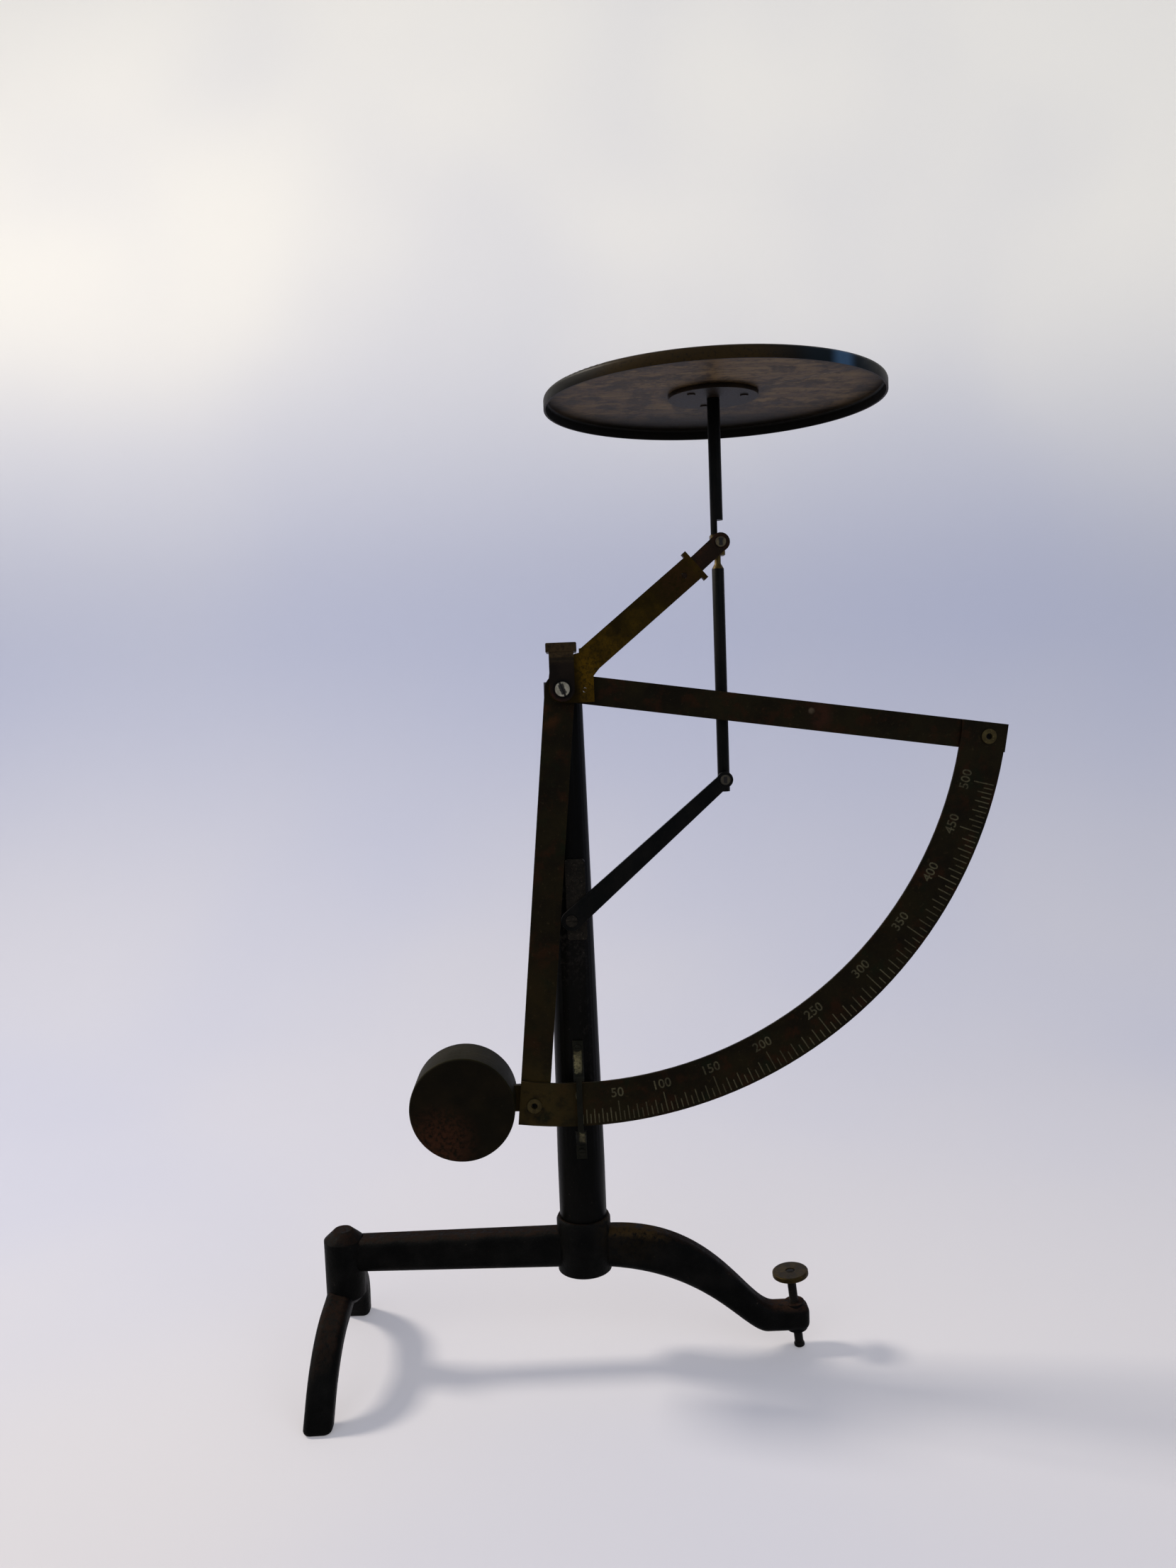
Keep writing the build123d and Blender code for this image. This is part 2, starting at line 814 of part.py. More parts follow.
def side_bar_strip(depth, thickness, mode, play=0.0):
    """Adds or cuts the side bar's whole outline with its round end, from one depth forward."""
    with BuildSketch(beam_view(depth, side_bar_angle)) as outline:
        with Locations((side_bar_end / 2, -side_bar_shift)):
            Rectangle(side_bar_end, side_bar_width + 2 * play)
        with Locations((0, -side_bar_shift)):
            Circle(side_bar_width / 2 + play)
    extrude(outline.sketch, amount=thickness, mode=mode)


# Bars: they are halved into each other round the arbor
with BuildPart() as top_bar:
    top_bar_strip(bar_back, bar_thickness, Mode.ADD)
    side_bar_strip(bar_back, bar_thickness / 2, Mode.SUBTRACT, fixed_fit)
    with Locations(on_beam(bar_front, (0, 0))):
        Hole(arbor_radius + fixed_fit)
    with Locations(on_beam(bar_front, top_rivet)):
        Hole(tube_radius + fixed_fit)
    for place in hub_rivets_at:
        with Locations(on_beam(bar_front, place)):
            Hole(hub_rivet_radius + fixed_fit)
top_bar.part.label = "top_bar"

with BuildPart() as side_bar:
    side_bar_strip(bar_back, bar_thickness, Mode.ADD)
    top_bar_strip(0, bar_thickness, Mode.SUBTRACT)
    with Locations(on_beam(bar_front, (0, 0))):
        Hole(arbor_radius + fixed_fit)
    with Locations(on_beam(bar_front, side_rivet)):
        Hole(tube_radius + fixed_fit)
    for place in hub_rivets_at:
        with Locations(on_beam(bar_front, place)):
            Hole(hub_rivet_radius + fixed_fit)
side_bar.part.label = "side_bar"

with BuildPart() as hub_rivets:
    for place in hub_rivets_at:
        cylinder(on_beam(casting_front, place), hub_rivet_radius, casting_front - bar_back)
hub_rivets.part.label = "hub_rivets"

# Quadrant: a ring cut off along the outer edges of both bars
side_left = -side_bar_shift - side_bar_width / 2
far_right = along(-top_bar_fall, 2 * quadrant_radius, top_edge)
far_left = along(side_bar_angle, 2 * quadrant_radius, side_left)
with BuildPart() as quadrant:
    with BuildSketch(beam_view(bar_front)):
        Circle(quadrant_radius)
        Circle(quadrant_inner, mode=Mode.SUBTRACT)
        with BuildLine():
            Polyline(
                along(-top_bar_fall, 0, top_edge),
                far_right,
                (far_right[0], far_left[1]),
                far_left,
                along(side_bar_angle, 0, side_left),
                close=True,
            )
        make_face(mode=Mode.INTERSECT)
        for place in (top_rivet, side_rivet):
            with Locations(place):
                Circle(tube_radius + fixed_fit, mode=Mode.SUBTRACT)
    extrude(amount=quadrant_thickness)
quadrant.part.label = "quadrant"


def tube_rivet(place, back):
    """Adds one tubular rivet between the quadrant's face and a back face."""
    length = back - quadrant_front
    cylinder(on_beam(quadrant_front, place), tube_radius, -length)
    cylinder(on_beam(quadrant_front, place), tube_head_radius, tube_head)
    cylinder(on_beam(back, place), tube_tail_radius, -tube_head)
    with Locations(on_beam(quadrant_front - tube_head, place)):
        Hole(tube_bore, depth=length + 2 * tube_head)


with BuildPart() as quadrant_rivets:
    tube_rivet(top_rivet, bar_back)
    tube_rivet(side_rivet, strap_back)
quadrant_rivets.part.label = "quadrant_rivets"

# Tongue that carries the rod's upper pin
with BuildPart() as arm_tongue:
    tongue_start = arm_end - tongue_socket + fixed_fit
    with BuildSketch(beam_view(tongue_back, crank_angle)):
        with Locations(((tongue_start + crank_length) / 2, 0)):
            Rectangle(crank_length - tongue_start, tongue_width)
        with Locations((crank_length, 0)):
            Circle(eye_radius)
            Circle(pin_radius + running_fit, mode=Mode.SUBTRACT)
    extrude(amount=tongue_thickness)
    with Locations(on_beam(tongue_front, tongue_rivet_at)):
        Hole(tongue_rivet_radius + fixed_fit)
arm_tongue.part.label = "arm_tongue"

with BuildPart() as tongue_rivet:
    cylinder(on_beam(casting_front, tongue_rivet_at), tongue_rivet_radius, -casting_thickness)
tongue_rivet.part.label = "tongue_rivet"

# Balance weight, its strap and the screw that holds them together
weight_at = (-weight_left, -weight_drop)
weight_rim = weight_radius - weight_left
strap_start = weight_rim - strap_in_weight
strap_screw_at = (weight_rim - strap_screw_inset, -weight_drop)
screw_head_back = weight_thickness / 2 - strap_screw_sink
with BuildPart() as weight:
    with BuildSketch(beam_view(weight_thickness / 2)):
        with Locations(weight_at):
            Circle(weight_radius)
    extrude(amount=weight_thickness)
    fillet(weight.edges().filter_by(GeomType.CIRCLE), weight_edge)
    with BuildSketch(beam_view(strap_back + fixed_fit)):
        with Locations((weight_rim, -weight_drop)):
            Rectangle(2 * (strap_in_weight + end_play), strap_height + 2 * fixed_fit)
    extrude(amount=strap_thickness + 2 * fixed_fit, mode=Mode.SUBTRACT)
    with Locations(back_of(column_x + strap_screw_at[0], weight_thickness / 2, pivot_height - weight_drop)):
        CounterBoreHole(
            radius=strap_screw_radius + fixed_fit,
            counter_bore_radius=strap_screw_head + fixed_fit,
            counter_bore_depth=strap_screw_sink,
            depth=strap_screw_length + strap_screw_sink + end_play,
        )
weight.part.label = "weight"

with BuildPart() as weight_tang:
    with BuildSketch(beam_view(strap_back)) as strap_sketch:
        with Locations(((strap_start - strap_right) / 2, -weight_drop)):
            Rectangle(-strap_right - strap_start, strap_height)
        fillet(strap_sketch.vertices().group_by(Axis.X)[-1], strap_corner)
        with Locations(side_rivet):
            Circle(tube_radius + fixed_fit, mode=Mode.SUBTRACT)
        with Locations(strap_screw_at):
            Circle(strap_screw_radius + fixed_fit, mode=Mode.SUBTRACT)
    extrude(amount=strap_thickness)
weight_tang.part.label = "weight_tang"

with BuildPart() as weight_screw:
    headed(
        back_of(column_x + strap_screw_at[0], screw_head_back, pivot_height - weight_drop),
        strap_screw_radius,
        strap_screw_length,
        strap_screw_head,
        strap_screw_sink - face_play,
        small_screw_slot,
    )
weight_screw.part.label = "weight_screw"

# Pan of sheet metal, with the flange riveted under it
rod_base = Plane.XY.offset(pan_z)
sheet_bottom = pan_z - pan_sheet
flange_bottom = sheet_bottom - flange_thickness
with BuildPart() as pan_plate:
    with BuildSketch(rod_base):
        with Locations((rod_x, 0)):
            Circle(pan_radius)
    extrude(amount=-pan_lip)
    fillet(pan_plate.faces().sort_by(Axis.Z)[-1].edges(), pan_corner)
    with BuildSketch(Plane.XY.offset(sheet_bottom)) as pan_inside:
        with Locations((rod_x, 0)):
            Circle(pan_radius - pan_sheet)
    extrude(amount=-pan_lip, mode=Mode.SUBTRACT)
    fillet(
        pan_plate.faces().filter_by(GeomType.PLANE).group_by(SortBy.AREA)[-1].edges(),
        pan_corner - pan_sheet,
    )
    with BuildSketch(rod_base):
        with Locations((rod_x, 0)):
            with PolarLocations(flange_rivet_circle, flange_rivet_count, flange_rivet_turn):
                Circle(flange_rivet_radius + fixed_fit)
    extrude(amount=-pan_lip, mode=Mode.SUBTRACT)
pan_plate.part.label = "pan_plate"

with BuildPart() as pan_flange:
    with BuildSketch(Plane.XY.offset(sheet_bottom)):
        with Locations((rod_x, 0)):
            Circle(flange_radius)
    extrude(amount=-flange_thickness)
    with BuildSketch(Plane.XY.offset(sheet_bottom)):
        with Locations((rod_x, 0)):
            Circle(tenon_radius + fixed_fit)
            with PolarLocations(flange_rivet_circle, flange_rivet_count, flange_rivet_turn):
                Circle(flange_rivet_radius + fixed_fit)
    extrude(amount=-flange_thickness, mode=Mode.SUBTRACT)
pan_flange.part.label = "pan_flange"

with BuildPart() as flange_rivets:
    with BuildSketch(rod_base):
        with Locations((rod_x, 0)):
            with PolarLocations(flange_rivet_circle, flange_rivet_count, flange_rivet_turn):
                Circle(flange_rivet_radius)
    extrude(amount=flange_bottom - pan_z)
    with BuildSketch(Plane.XY.offset(flange_bottom)):
        with Locations((rod_x, 0)):
            with PolarLocations(flange_rivet_circle, flange_rivet_count, flange_rivet_turn):
                Circle(flange_rivet_head)
    extrude(amount=-flange_rivet_height)
flange_rivets.part.label = "flange_rivets"

# Upright rods: the stem ends in a tenon, the joint has a socket above and a spigot below
rod_view = front_of(rod_x, rod_depth, upper_pin_z)
with BuildPart() as pan_stem:
    with BuildSketch(Plane.XY.offset(upper_pin_z + knuckle_above)):
        with Locations((rod_x, 0)):
            Circle(stem_radius)
    extrude(amount=flange_bottom - upper_pin_z - knuckle_above)
    with BuildSketch(Plane.XY.offset(upper_pin_z + stem_seat)):
        with Locations((rod_x, 0)):
            Circle(tenon_radius)
    extrude(amount=sheet_bottom - upper_pin_z - stem_seat)
    with BuildSketch(rod_view):
        with Locations((2 * stem_radius - stem_flat_depth, (stem_flat_top + knuckle_above) / 2)):
            Rectangle(2 * stem_radius, stem_flat_top - knuckle_above)
    extrude(amount=stem_radius, both=True, mode=Mode.SUBTRACT)
pan_stem.part.label = "pan_stem"

neck_end = -knuckle_below - neck_length - neck_flare
with BuildPart() as stem_knuckle:
    with BuildSketch(Plane(origin=(rod_x, 0, upper_pin_z + knuckle_above), z_dir=(0, 0, -1))):
        RectangleRounded(knuckle_width, knuckle_width, knuckle_edge)
    extrude(amount=knuckle_above + knuckle_below)
    with BuildSketch(rod_view):
        with BuildLine():
            Polyline(
                (0, 0),
                (neck_radius, 0),
                (neck_radius, neck_end + neck_flare),
                (rod_radius, neck_end),
                (neck_spigot_radius, neck_end),
                (neck_spigot_radius, neck_end - neck_spigot_length),
                (0, neck_end - neck_spigot_length),
                close=True,
            )
        make_face()
    revolve(axis=Axis((rod_x, 0, 0), (0, 0, 1)))
    with BuildSketch(Plane.XY.offset(upper_pin_z + stem_seat)):
        with Locations((rod_x, 0)):
            Circle(tenon_radius + fixed_fit)
    extrude(amount=knuckle_above, mode=Mode.SUBTRACT)
    with Locations(on_beam(knuckle_front, upper_pin)):
        Hole(pin_radius + fixed_fit)
stem_knuckle.part.label = "stem_knuckle"

with BuildPart() as lower_rod:
    rod_top = upper_pin_z + neck_end
    rod_bottom = lower_pin_z - rod_below_pin
    with BuildSketch(Plane.XY.offset(rod_bottom)):
        with Locations((rod_x, 0)):
            Circle(rod_radius)
    extrude(amount=rod_top - rod_bottom)
    with Locations((rod_x, 0, rod_top)):
        Hole(neck_spigot_radius + fixed_fit, depth=neck_spigot_length + end_play)
    with Locations(on_beam(rod_depth - rod_radius, lower_pin)):
        Hole(pin_radius + fixed_fit)
lower_rod.part.label = "lower_rod"

with BuildPart() as stem_pin:
    pin_seat = tongue_front - face_play
    headed(
        on_beam(pin_seat, upper_pin),
        pin_radius,
        knuckle_back + pin_tail - pin_seat,
        pin_head_radius,
        pin_head_height,
    )
stem_pin.part.label = "stem_pin"

with BuildPart() as pin_spacer:
    with BuildSketch(on_beam(knuckle_front, upper_pin)):
        Circle(spacer_radius)
        Circle(pin_radius + fixed_fit, mode=Mode.SUBTRACT)
    extrude(amount=knuckle_front - tongue_back - face_play)
pin_spacer.part.label = "pin_spacer"

with BuildPart() as rod_pin:
    headed(
        on_beam(stud_seat, lower_pin),
        pin_radius,
        rod_depth + rod_radius + pin_tail - stud_seat,
        pin_head_radius,
        low_pin_head_height,
    )
rod_pin.part.label = "rod_pin"

with BuildPart() as lower_link:
    link_view = Plane(
        origin=(column_x, beam_y + link_back, link_pivot_z),
        x_dir=(cos(radians(crank_angle)), 0, sin(radians(crank_angle))),
        z_dir=(0, -1, 0),
    )
    with BuildSketch(link_view):
        Circle(link_root_radius)
        with Locations((crank_length, 0)):
            Circle(link_eye_radius)
        with BuildLine():
            Polyline(
                (0, link_root_radius),
                (crank_length, link_half_width),
                (crank_length, -link_half_width),
                (0, -link_root_radius),
                close=True,
            )
        make_face()
        Circle(stud_radius + running_fit, mode=Mode.SUBTRACT)
        with Locations((crank_length, 0)):
            Circle(pin_radius + link_eye_play, mode=Mode.SUBTRACT)
    extrude(amount=link_thickness)
lower_link.part.label = "lower_link"

# Levelling screw: its round tip stands on the table and its disc turns on the shank's end
screw_view = Plane(origin=screw_plane.origin, x_dir=(cos(screw_tilt), 0, sin(screw_tilt)), z_dir=(0, -1, 0))
tip_centre = tip_round / cos(screw_tilt)
tip_side = tip_centre - sqrt(tip_round**2 - tip_radius**2)
with BuildPart() as levelling_screw:
    with BuildSketch(screw_view):
        with BuildLine():
            RadiusArc((0, tip_centre - tip_round), (tip_radius, tip_side), -tip_round)
            Polyline(
                (tip_radius, tip_side),
                (tip_radius, tip_side + tip_height),
                (levelling_radius, tip_side + tip_height),
                (levelling_radius, thumb_height + thumb_thickness / 2 - face_play),
                (0, thumb_height + thumb_thickness / 2 - face_play),
                (0, tip_centre - tip_round),
            )
        make_face()
    revolve(axis=Axis(screw_plane.origin, screw_plane.z_dir))
levelling_screw.part.label = "levelling_screw"

with BuildPart() as thumb_disc:
    cylinder(screw_plane.offset(thumb_height - thumb_thickness / 2), thumb_radius, thumb_thickness)
    fillet(thumb_disc.edges().filter_by(GeomType.CIRCLE), thumb_edge)
    with Locations(screw_plane.offset(thumb_height + thumb_thickness / 2)):
        Hole(levelling_radius + running_fit)
thumb_disc.part.label = "thumb_disc"

os.makedirs("parts", exist_ok=True)
pieces = (
    base_casting, leg_casting, leg_screw, column, column_screw, head_bracket, head_screw,
    front_pivot_screw, rear_pivot_pin, index_pointer, index_screws, link_plate,
    link_plate_screws, link_stud, beam_casting, beam_arbor, top_bar, side_bar, hub_rivets,
    quadrant, quadrant_rivets, arm_tongue, tongue_rivet, weight, weight_tang, weight_screw,
    pan_plate, pan_flange, flange_rivets, pan_stem, stem_knuckle, lower_rod, stem_pin,
    pin_spacer, rod_pin, lower_link, levelling_screw, thumb_disc,
)
for piece in pieces:
    export_step(piece.part, f"parts/{piece.part.label}.step")
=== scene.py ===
"""Looks of a quadrant letter scale: dial, screw thread, finishes, stage and camera."""
import json
import math

import bmesh
import bpy
from bpy.props import FloatProperty, FloatVectorProperty, IntProperty, PointerProperty
from mathutils import Matrix, Vector


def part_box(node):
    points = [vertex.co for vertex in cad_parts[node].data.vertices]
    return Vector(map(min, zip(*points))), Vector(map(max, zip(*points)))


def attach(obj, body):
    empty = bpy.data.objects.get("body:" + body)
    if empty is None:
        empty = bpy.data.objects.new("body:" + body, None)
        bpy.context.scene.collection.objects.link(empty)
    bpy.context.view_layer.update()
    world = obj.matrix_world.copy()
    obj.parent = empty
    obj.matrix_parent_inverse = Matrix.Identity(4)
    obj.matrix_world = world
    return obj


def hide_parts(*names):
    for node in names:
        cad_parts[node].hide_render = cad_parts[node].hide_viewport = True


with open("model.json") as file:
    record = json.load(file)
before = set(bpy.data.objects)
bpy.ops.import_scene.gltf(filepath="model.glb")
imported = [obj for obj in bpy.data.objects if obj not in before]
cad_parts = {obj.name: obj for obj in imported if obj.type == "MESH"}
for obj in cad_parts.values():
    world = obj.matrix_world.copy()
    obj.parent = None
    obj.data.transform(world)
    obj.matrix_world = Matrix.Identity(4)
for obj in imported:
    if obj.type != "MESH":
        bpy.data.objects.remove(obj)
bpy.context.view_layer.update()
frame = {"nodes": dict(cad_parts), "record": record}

bl_info = {
    "name": "Quadrant letter scale",
    "version": (1, 0, 0),
    "blender": (4, 5, 0),
    "location": "View3D > Sidebar > Letter scale",
    "description": "Dresses a quadrant letter scale with its dial, thread, finishes and stage",
    "category": "Object",
}

NODES = frame["nodes"]
MM = 0.001
TO_MM = 1000.0


def node_box(name):
    """Lowest and highest corner of a node, in metres."""
    low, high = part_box(name)
    return Vector(low), Vector(high)


def node_middle(name):
    """Middle of a node's box, in metres."""
    low, high = node_box(name)
    return (low + high) / 2


def head_front(name):
    """Middle of the front of a round head, in millimetres."""
    low, high = node_box(name)
    return Vector(((low.x + high.x) / 2, low.y, (low.z + high.z) / 2)) * TO_MM


PIVOT = node_middle("beam_arbor")
PIVOT_X, PIVOT_Z = PIVOT.x, PIVOT.z
STAND_Y = node_middle("column").y
COLUMN_X = node_middle("column").x
BEAM_Y = node_middle("top_bar").y
DIAL_FACE = node_box("quadrant")[0].y
SCREW_LEAN = math.radians(5.8)
PIVOT_SLOT_LEAN = math.radians(22)
BODY_OF = {
    node: body for body, nodes in frame["record"]["behaviour"]["bodies"].items() for node in nodes
}

# How a node's mesh is rounded: what is merged, what counts as flat, and which edges are cut
MERGE_GAP = 0.002 * MM
FLAT_ANGLE = math.radians(0.6)
SHARP_ANGLE = math.radians(32)
SMOOTH_ANGLE = math.radians(38)
BEVEL_STEPS = 2
FLAT_SIDES = 6
FLAT_AREA = 4 * MM * MM


def linear(value):
    """A display value from 0 to 255 as the renderer's linear value."""
    share = value / 255
    return share / 12.92 if share <= 0.04045 else ((share + 0.055) / 1.055) ** 2.4


def tone(red, green, blue):
    """A display colour as the renderer's linear colour."""
    return (linear(red), linear(green), linear(blue), 1.0)


# Node trees


class Wire:
    """One output socket of a node tree, with arithmetic that adds its Math nodes."""

    def __init__(self, bench, socket):
        self.bench = bench
        self.socket = socket

    def __add__(self, other):
        return self.bench.math("ADD", self, other)

    __radd__ = __add__

    def __mul__(self, other):
        return self.bench.math("MULTIPLY", self, other)

    __rmul__ = __mul__

    def __sub__(self, other):
        return self.bench.math("SUBTRACT", self, other)

    def __rsub__(self, other):
        return self.bench.math("SUBTRACT", other, self)

    def __truediv__(self, other):
        return self.bench.math("DIVIDE", self, other)

    def __rtruediv__(self, other):
        return self.bench.math("DIVIDE", other, self)

    def __abs__(self):
        return self.bench.math("ABSOLUTE", self)

    def clamp(self):
        """The value kept between 0 and 1."""
        clamped = {"operation": "ADD", "use_clamp": True}
        return self.bench.node("ShaderNodeMath", clamped, {0: self, 1: 0.0})

    def rise(self, start, end):
        """A smooth step from 0 at start to 1 at end."""
        return self.bench.node(
            "ShaderNodeMapRange",
            {"interpolation_type": "SMOOTHSTEP", "clamp": True},
            {"Value": self, "From Min": start, "From Max": end},
        )

    def band(self, centre, half, soft):
        """1 within half of a centre, falling to 0 over the soft width outside."""
        return 1 - abs(self - centre).rise(half, half + soft)


class Nodes:
    """A node tree, whose nodes all come from one method."""

    def __init__(self, tree):
        self.tree = tree

    def node(self, kind, settings, values, output=0):
        """Adds a node: settings first, then the values or links of its sockets; gives one output."""
        made = self.tree.nodes.new(kind)
        for key, value in settings.items():
            setattr(made, key, value)
        for key, value in values.items():
            if isinstance(key, int):
                socket = made.inputs[key]
            else:
                socket = next(s for s in made.inputs if key in (s.identifier, s.name))
            if isinstance(value, Wire):
                self.tree.links.new(value.socket, socket)
            else:
                socket.default_value = value
        if isinstance(output, str):
            return Wire(self, next(s for s in made.outputs if output in (s.identifier, s.name)))
        return Wire(self, made.outputs[output]) if made.outputs else None


class Bench(Nodes):
    """Builds the node tree of one finish."""

    def __init__(self, name):
        self.material = bpy.data.materials.new(name)
        self.material.use_nodes = True
        super().__init__(self.material.node_tree)
        self.tree.nodes.clear()
        self.held = {}

    def math(self, operation, first, second=0.0):
        """One Math node."""
        return self.node("ShaderNodeMath", {"operation": operation}, {0: first, 1: second})

    def place(self):
        """Place on the object in millimetres, in the shared frame."""
        if "place" not in self.held:
            raw = self.node("ShaderNodeTexCoord", {}, {}, "Object")
            self.held["place"] = self.node(
                "ShaderNodeVectorMath", {"operation": "SCALE"}, {0: raw, "Scale": TO_MM}
            )
        return self.held["place"]

    def axis(self, index):
        """One coordinate of the place, in millimetres."""
        key = f"axis{index}"
        if key not in self.held:
            self.held[key] = self.node("ShaderNodeSeparateXYZ", {}, {0: self.place()}, index)
        return self.held[key]

    def facing(self, index):
        """One coordinate of the surface's own direction."""
        raw = self.node("ShaderNodeTexCoord", {}, {}, "Normal")
        return self.node("ShaderNodeSeparateXYZ", {}, {0: raw}, index)

    def near(self, point, reach, soft):
        """1 close to a point in millimetres, falling to 0 over the soft distance."""
        gap = self.node(
            "ShaderNodeVectorMath", {"operation": "DISTANCE"}, {0: self.place(), 1: tuple(point)}, "Value"
        )
        return 1 - gap.rise(reach, reach + soft)

    def noise(self, scale, detail=4.0, rough=0.6, stretch=(1, 1, 1), shift=0.0):
        """Cloudy pattern with a scale per millimetre."""
        place = self.node(
            "ShaderNodeVectorMath",
            {"operation": "MULTIPLY_ADD"},
            {0: self.place(), 1: tuple(stretch), 2: (shift, shift * 0.7, shift * 1.3)},
        )
        return self.node(
            "ShaderNodeTexNoise",
            {"noise_dimensions": "3D"},
            {"Vector": place, "Scale": scale, "Detail": detail, "Roughness": rough},
            "Fac",
        )

    def cells(self, scale, shift=0.0):
        """Distance to the nearest of scattered points, for pits and specks."""
        place = self.node(
            "ShaderNodeVectorMath", {"operation": "ADD"}, {0: self.place(), 1: (shift, shift, shift)}
        )
        return self.node("ShaderNodeTexVoronoi", {}, {"Vector": place, "Scale": scale}, "Distance")

    def coats(self, base, *coats):
        """Lays coats over a base colour in turn: each is how much of it shows, and its colour."""
        colour = self.paint(base)
        for share, shade in coats:
            colour = self.node(
                "ShaderNodeMix",
                {"data_type": "RGBA"},
                {"Factor_Float": share.clamp(), "A_Color": colour, "B_Color": self.paint(shade)},
                "Result_Color",
            )
        return colour

    @staticmethod
    def paint(shade):
        """A display colour as a socket's value; an output stays as it is."""
        return shade if isinstance(shade, Wire) else tone(*shade)

    def finish(self, colour, roughness, metallic, height, depth, specular):
        """Closes the tree with one surface shader; depth is the relief in millimetres."""
        relief = {"Height": height, "Distance": depth * MM, "Strength": 1.0}
        bump = self.node("ShaderNodeBump", {}, relief)
        values = {
            "Base Color": colour,
            "Roughness": roughness,
            "Metallic": metallic,
            "Specular IOR Level": specular,
            "Normal": bump,
        }
        shader = self.node("ShaderNodeBsdfPrincipled", {}, values)
        self.node("ShaderNodeOutputMaterial", {}, {"Surface": shader})
        return self.material


# Finishes


def make_cast_black(tones):
    """Black paint on rough cast iron, rubbed to brown rust on upper faces and in patches, with chips."""
    b = Bench("black_iron_worn")
    broad = b.noise(0.09, 4, 0.6)
    fine = b.noise(0.55, 6, 0.7, shift=17)
    grain = b.noise(1.7, 3, 0.6, shift=5)
    up = b.facing(2)
    rust = (up.rise(0.3, 0.95) * 0.85 + (broad - 0.45) * 1.7).rise(0.3, 1.0) * fine.rise(0.34, 0.6)
    root = b.near((COLUMN_X * TO_MM + 17, STAND_Y * TO_MM - 3, 47), 5, 12) * up.rise(-0.2, 0.7)
    pad = b.near((COLUMN_X * TO_MM + 76, STAND_Y * TO_MM, 18), 4, 9) * up.rise(0.2, 0.9)
    chips = b.cells(0.42, 3).rise(0.26, 0.12) * broad.rise(0.52, 0.64) * fine.rise(0.56, 0.66)
    colour = b.coats(
        tones[0],
        (broad.rise(0.35, 0.7), tones[1]),
        (rust * 0.85, tones[2]),
        (root * fine.rise(0.36, 0.55) * 0.8, (50, 37, 17)),
        (pad * fine.rise(0.36, 0.6) * 0.7, (46, 31, 22)),
        (chips * 0.7, (66, 58, 48)),
    )
    roughness = (0.4 + rust * 0.3 + grain * 0.18).clamp()
    relief = broad * 0.5 + fine * 0.9 + grain * 0.35 - chips * 0.5
    return b.finish(colour, roughness, (0.05 + chips * 0.5).clamp(), relief, 0.3, specular=0.03)


def make_column_paint(tones):
    """Black enamel on the turned column, with worn specks, two rubbed places and a painted bluish sheen on
    its right flank.
    """
    b = Bench("column_enamel")
    broad = b.noise(0.07, 4, 0.6, (1, 1, 0.35), 9)
    fine = b.noise(0.7, 5, 0.7, shift=31)
    rings = b.noise(1.3, 2, 0.5, (0.04, 0.04, 1.0), 2)
    height = b.axis(2)
    aside = b.facing(0)
    specks = b.cells(0.55, 7).rise(0.2, 0.1) * fine.rise(0.52, 0.62) * broad.rise(0.42, 0.6)
    rubbed = height.band(158, 12, 12) * b.facing(1).rise(-0.55, -0.95) * fine.rise(0.5, 0.58)
    scuffs = height.band(112, 16, 14) * aside.band(0.45, 0.2, 0.2) * fine.rise(0.54, 0.6)
    colour = b.coats(
        tones[0],
        (broad.rise(0.35, 0.7), tones[1]),
        # Painted sheen: the right flank is lighter and bluish, as if it reflected the room
        (aside.rise(0.45, 0.95) * 0.7, tones[2]),
        (specks * 0.6, (64, 58, 50)),
        (rubbed * 0.16 + scuffs * 0.12, (50, 45, 40)),
    )
    roughness = (0.3 + broad * 0.14 + (rubbed + specks) * 0.3).clamp()
    relief = rings * 0.25 + fine * 0.35 - specks * 0.6
    return b.finish(colour, roughness, (specks * 0.5).clamp(), relief, 0.12, specular=0.03)


def make_dark_brass(name, tones, places=()):
    """Old brass gone dark: mottled olive, rusty and green, scratched, with worn places and a painted
    highlight on faces that look up.
    """
    b = Bench(name)
    broad = b.noise(0.06, 5, 0.65, shift=3)
    cloud = b.noise(0.16, 5, 0.65, shift=41)
    green = b.noise(0.11, 4, 0.6, shift=77)
    fine = b.noise(0.9, 5, 0.7, shift=13)
    scratch = b.noise(0.9, 3, 0.5, (0.08, 1, 1.4), 7)
    pits = b.cells(0.8, 2).rise(0.25, 0.08) * cloud.rise(0.5, 0.7)
    patchy = cloud.rise(0.3, 0.55) * 0.85
    worn = [(b.near(point, reach, soft) * patchy, shade) for point, reach, soft, shade in places]
    colour = b.coats(
        tones[0],
        (broad.rise(0.36, 0.66), tones[1]),
        (cloud.rise(0.5, 0.68) * 0.75, tones[2]),
        (green.rise(0.54, 0.7) * 0.6, tones[3]),
        *worn,
        # Painted highlight: faces that look up are lighter, as if lit from above
        (b.facing(2).rise(0.45, 0.9) * 0.5, (52, 44, 28)),
        (fine.rise(0.58, 0.72) * 0.4, (58, 48, 28)),
        (pits * 0.6, (8, 7, 6)),
    )
    roughness = (0.42 + fine * 0.2 + cloud * 0.12).clamp()
    relief = fine * 0.5 + scratch * 0.5 - pits * 0.8
    return b.finish(colour, roughness, 0.55, relief, 0.08, specular=0.07)


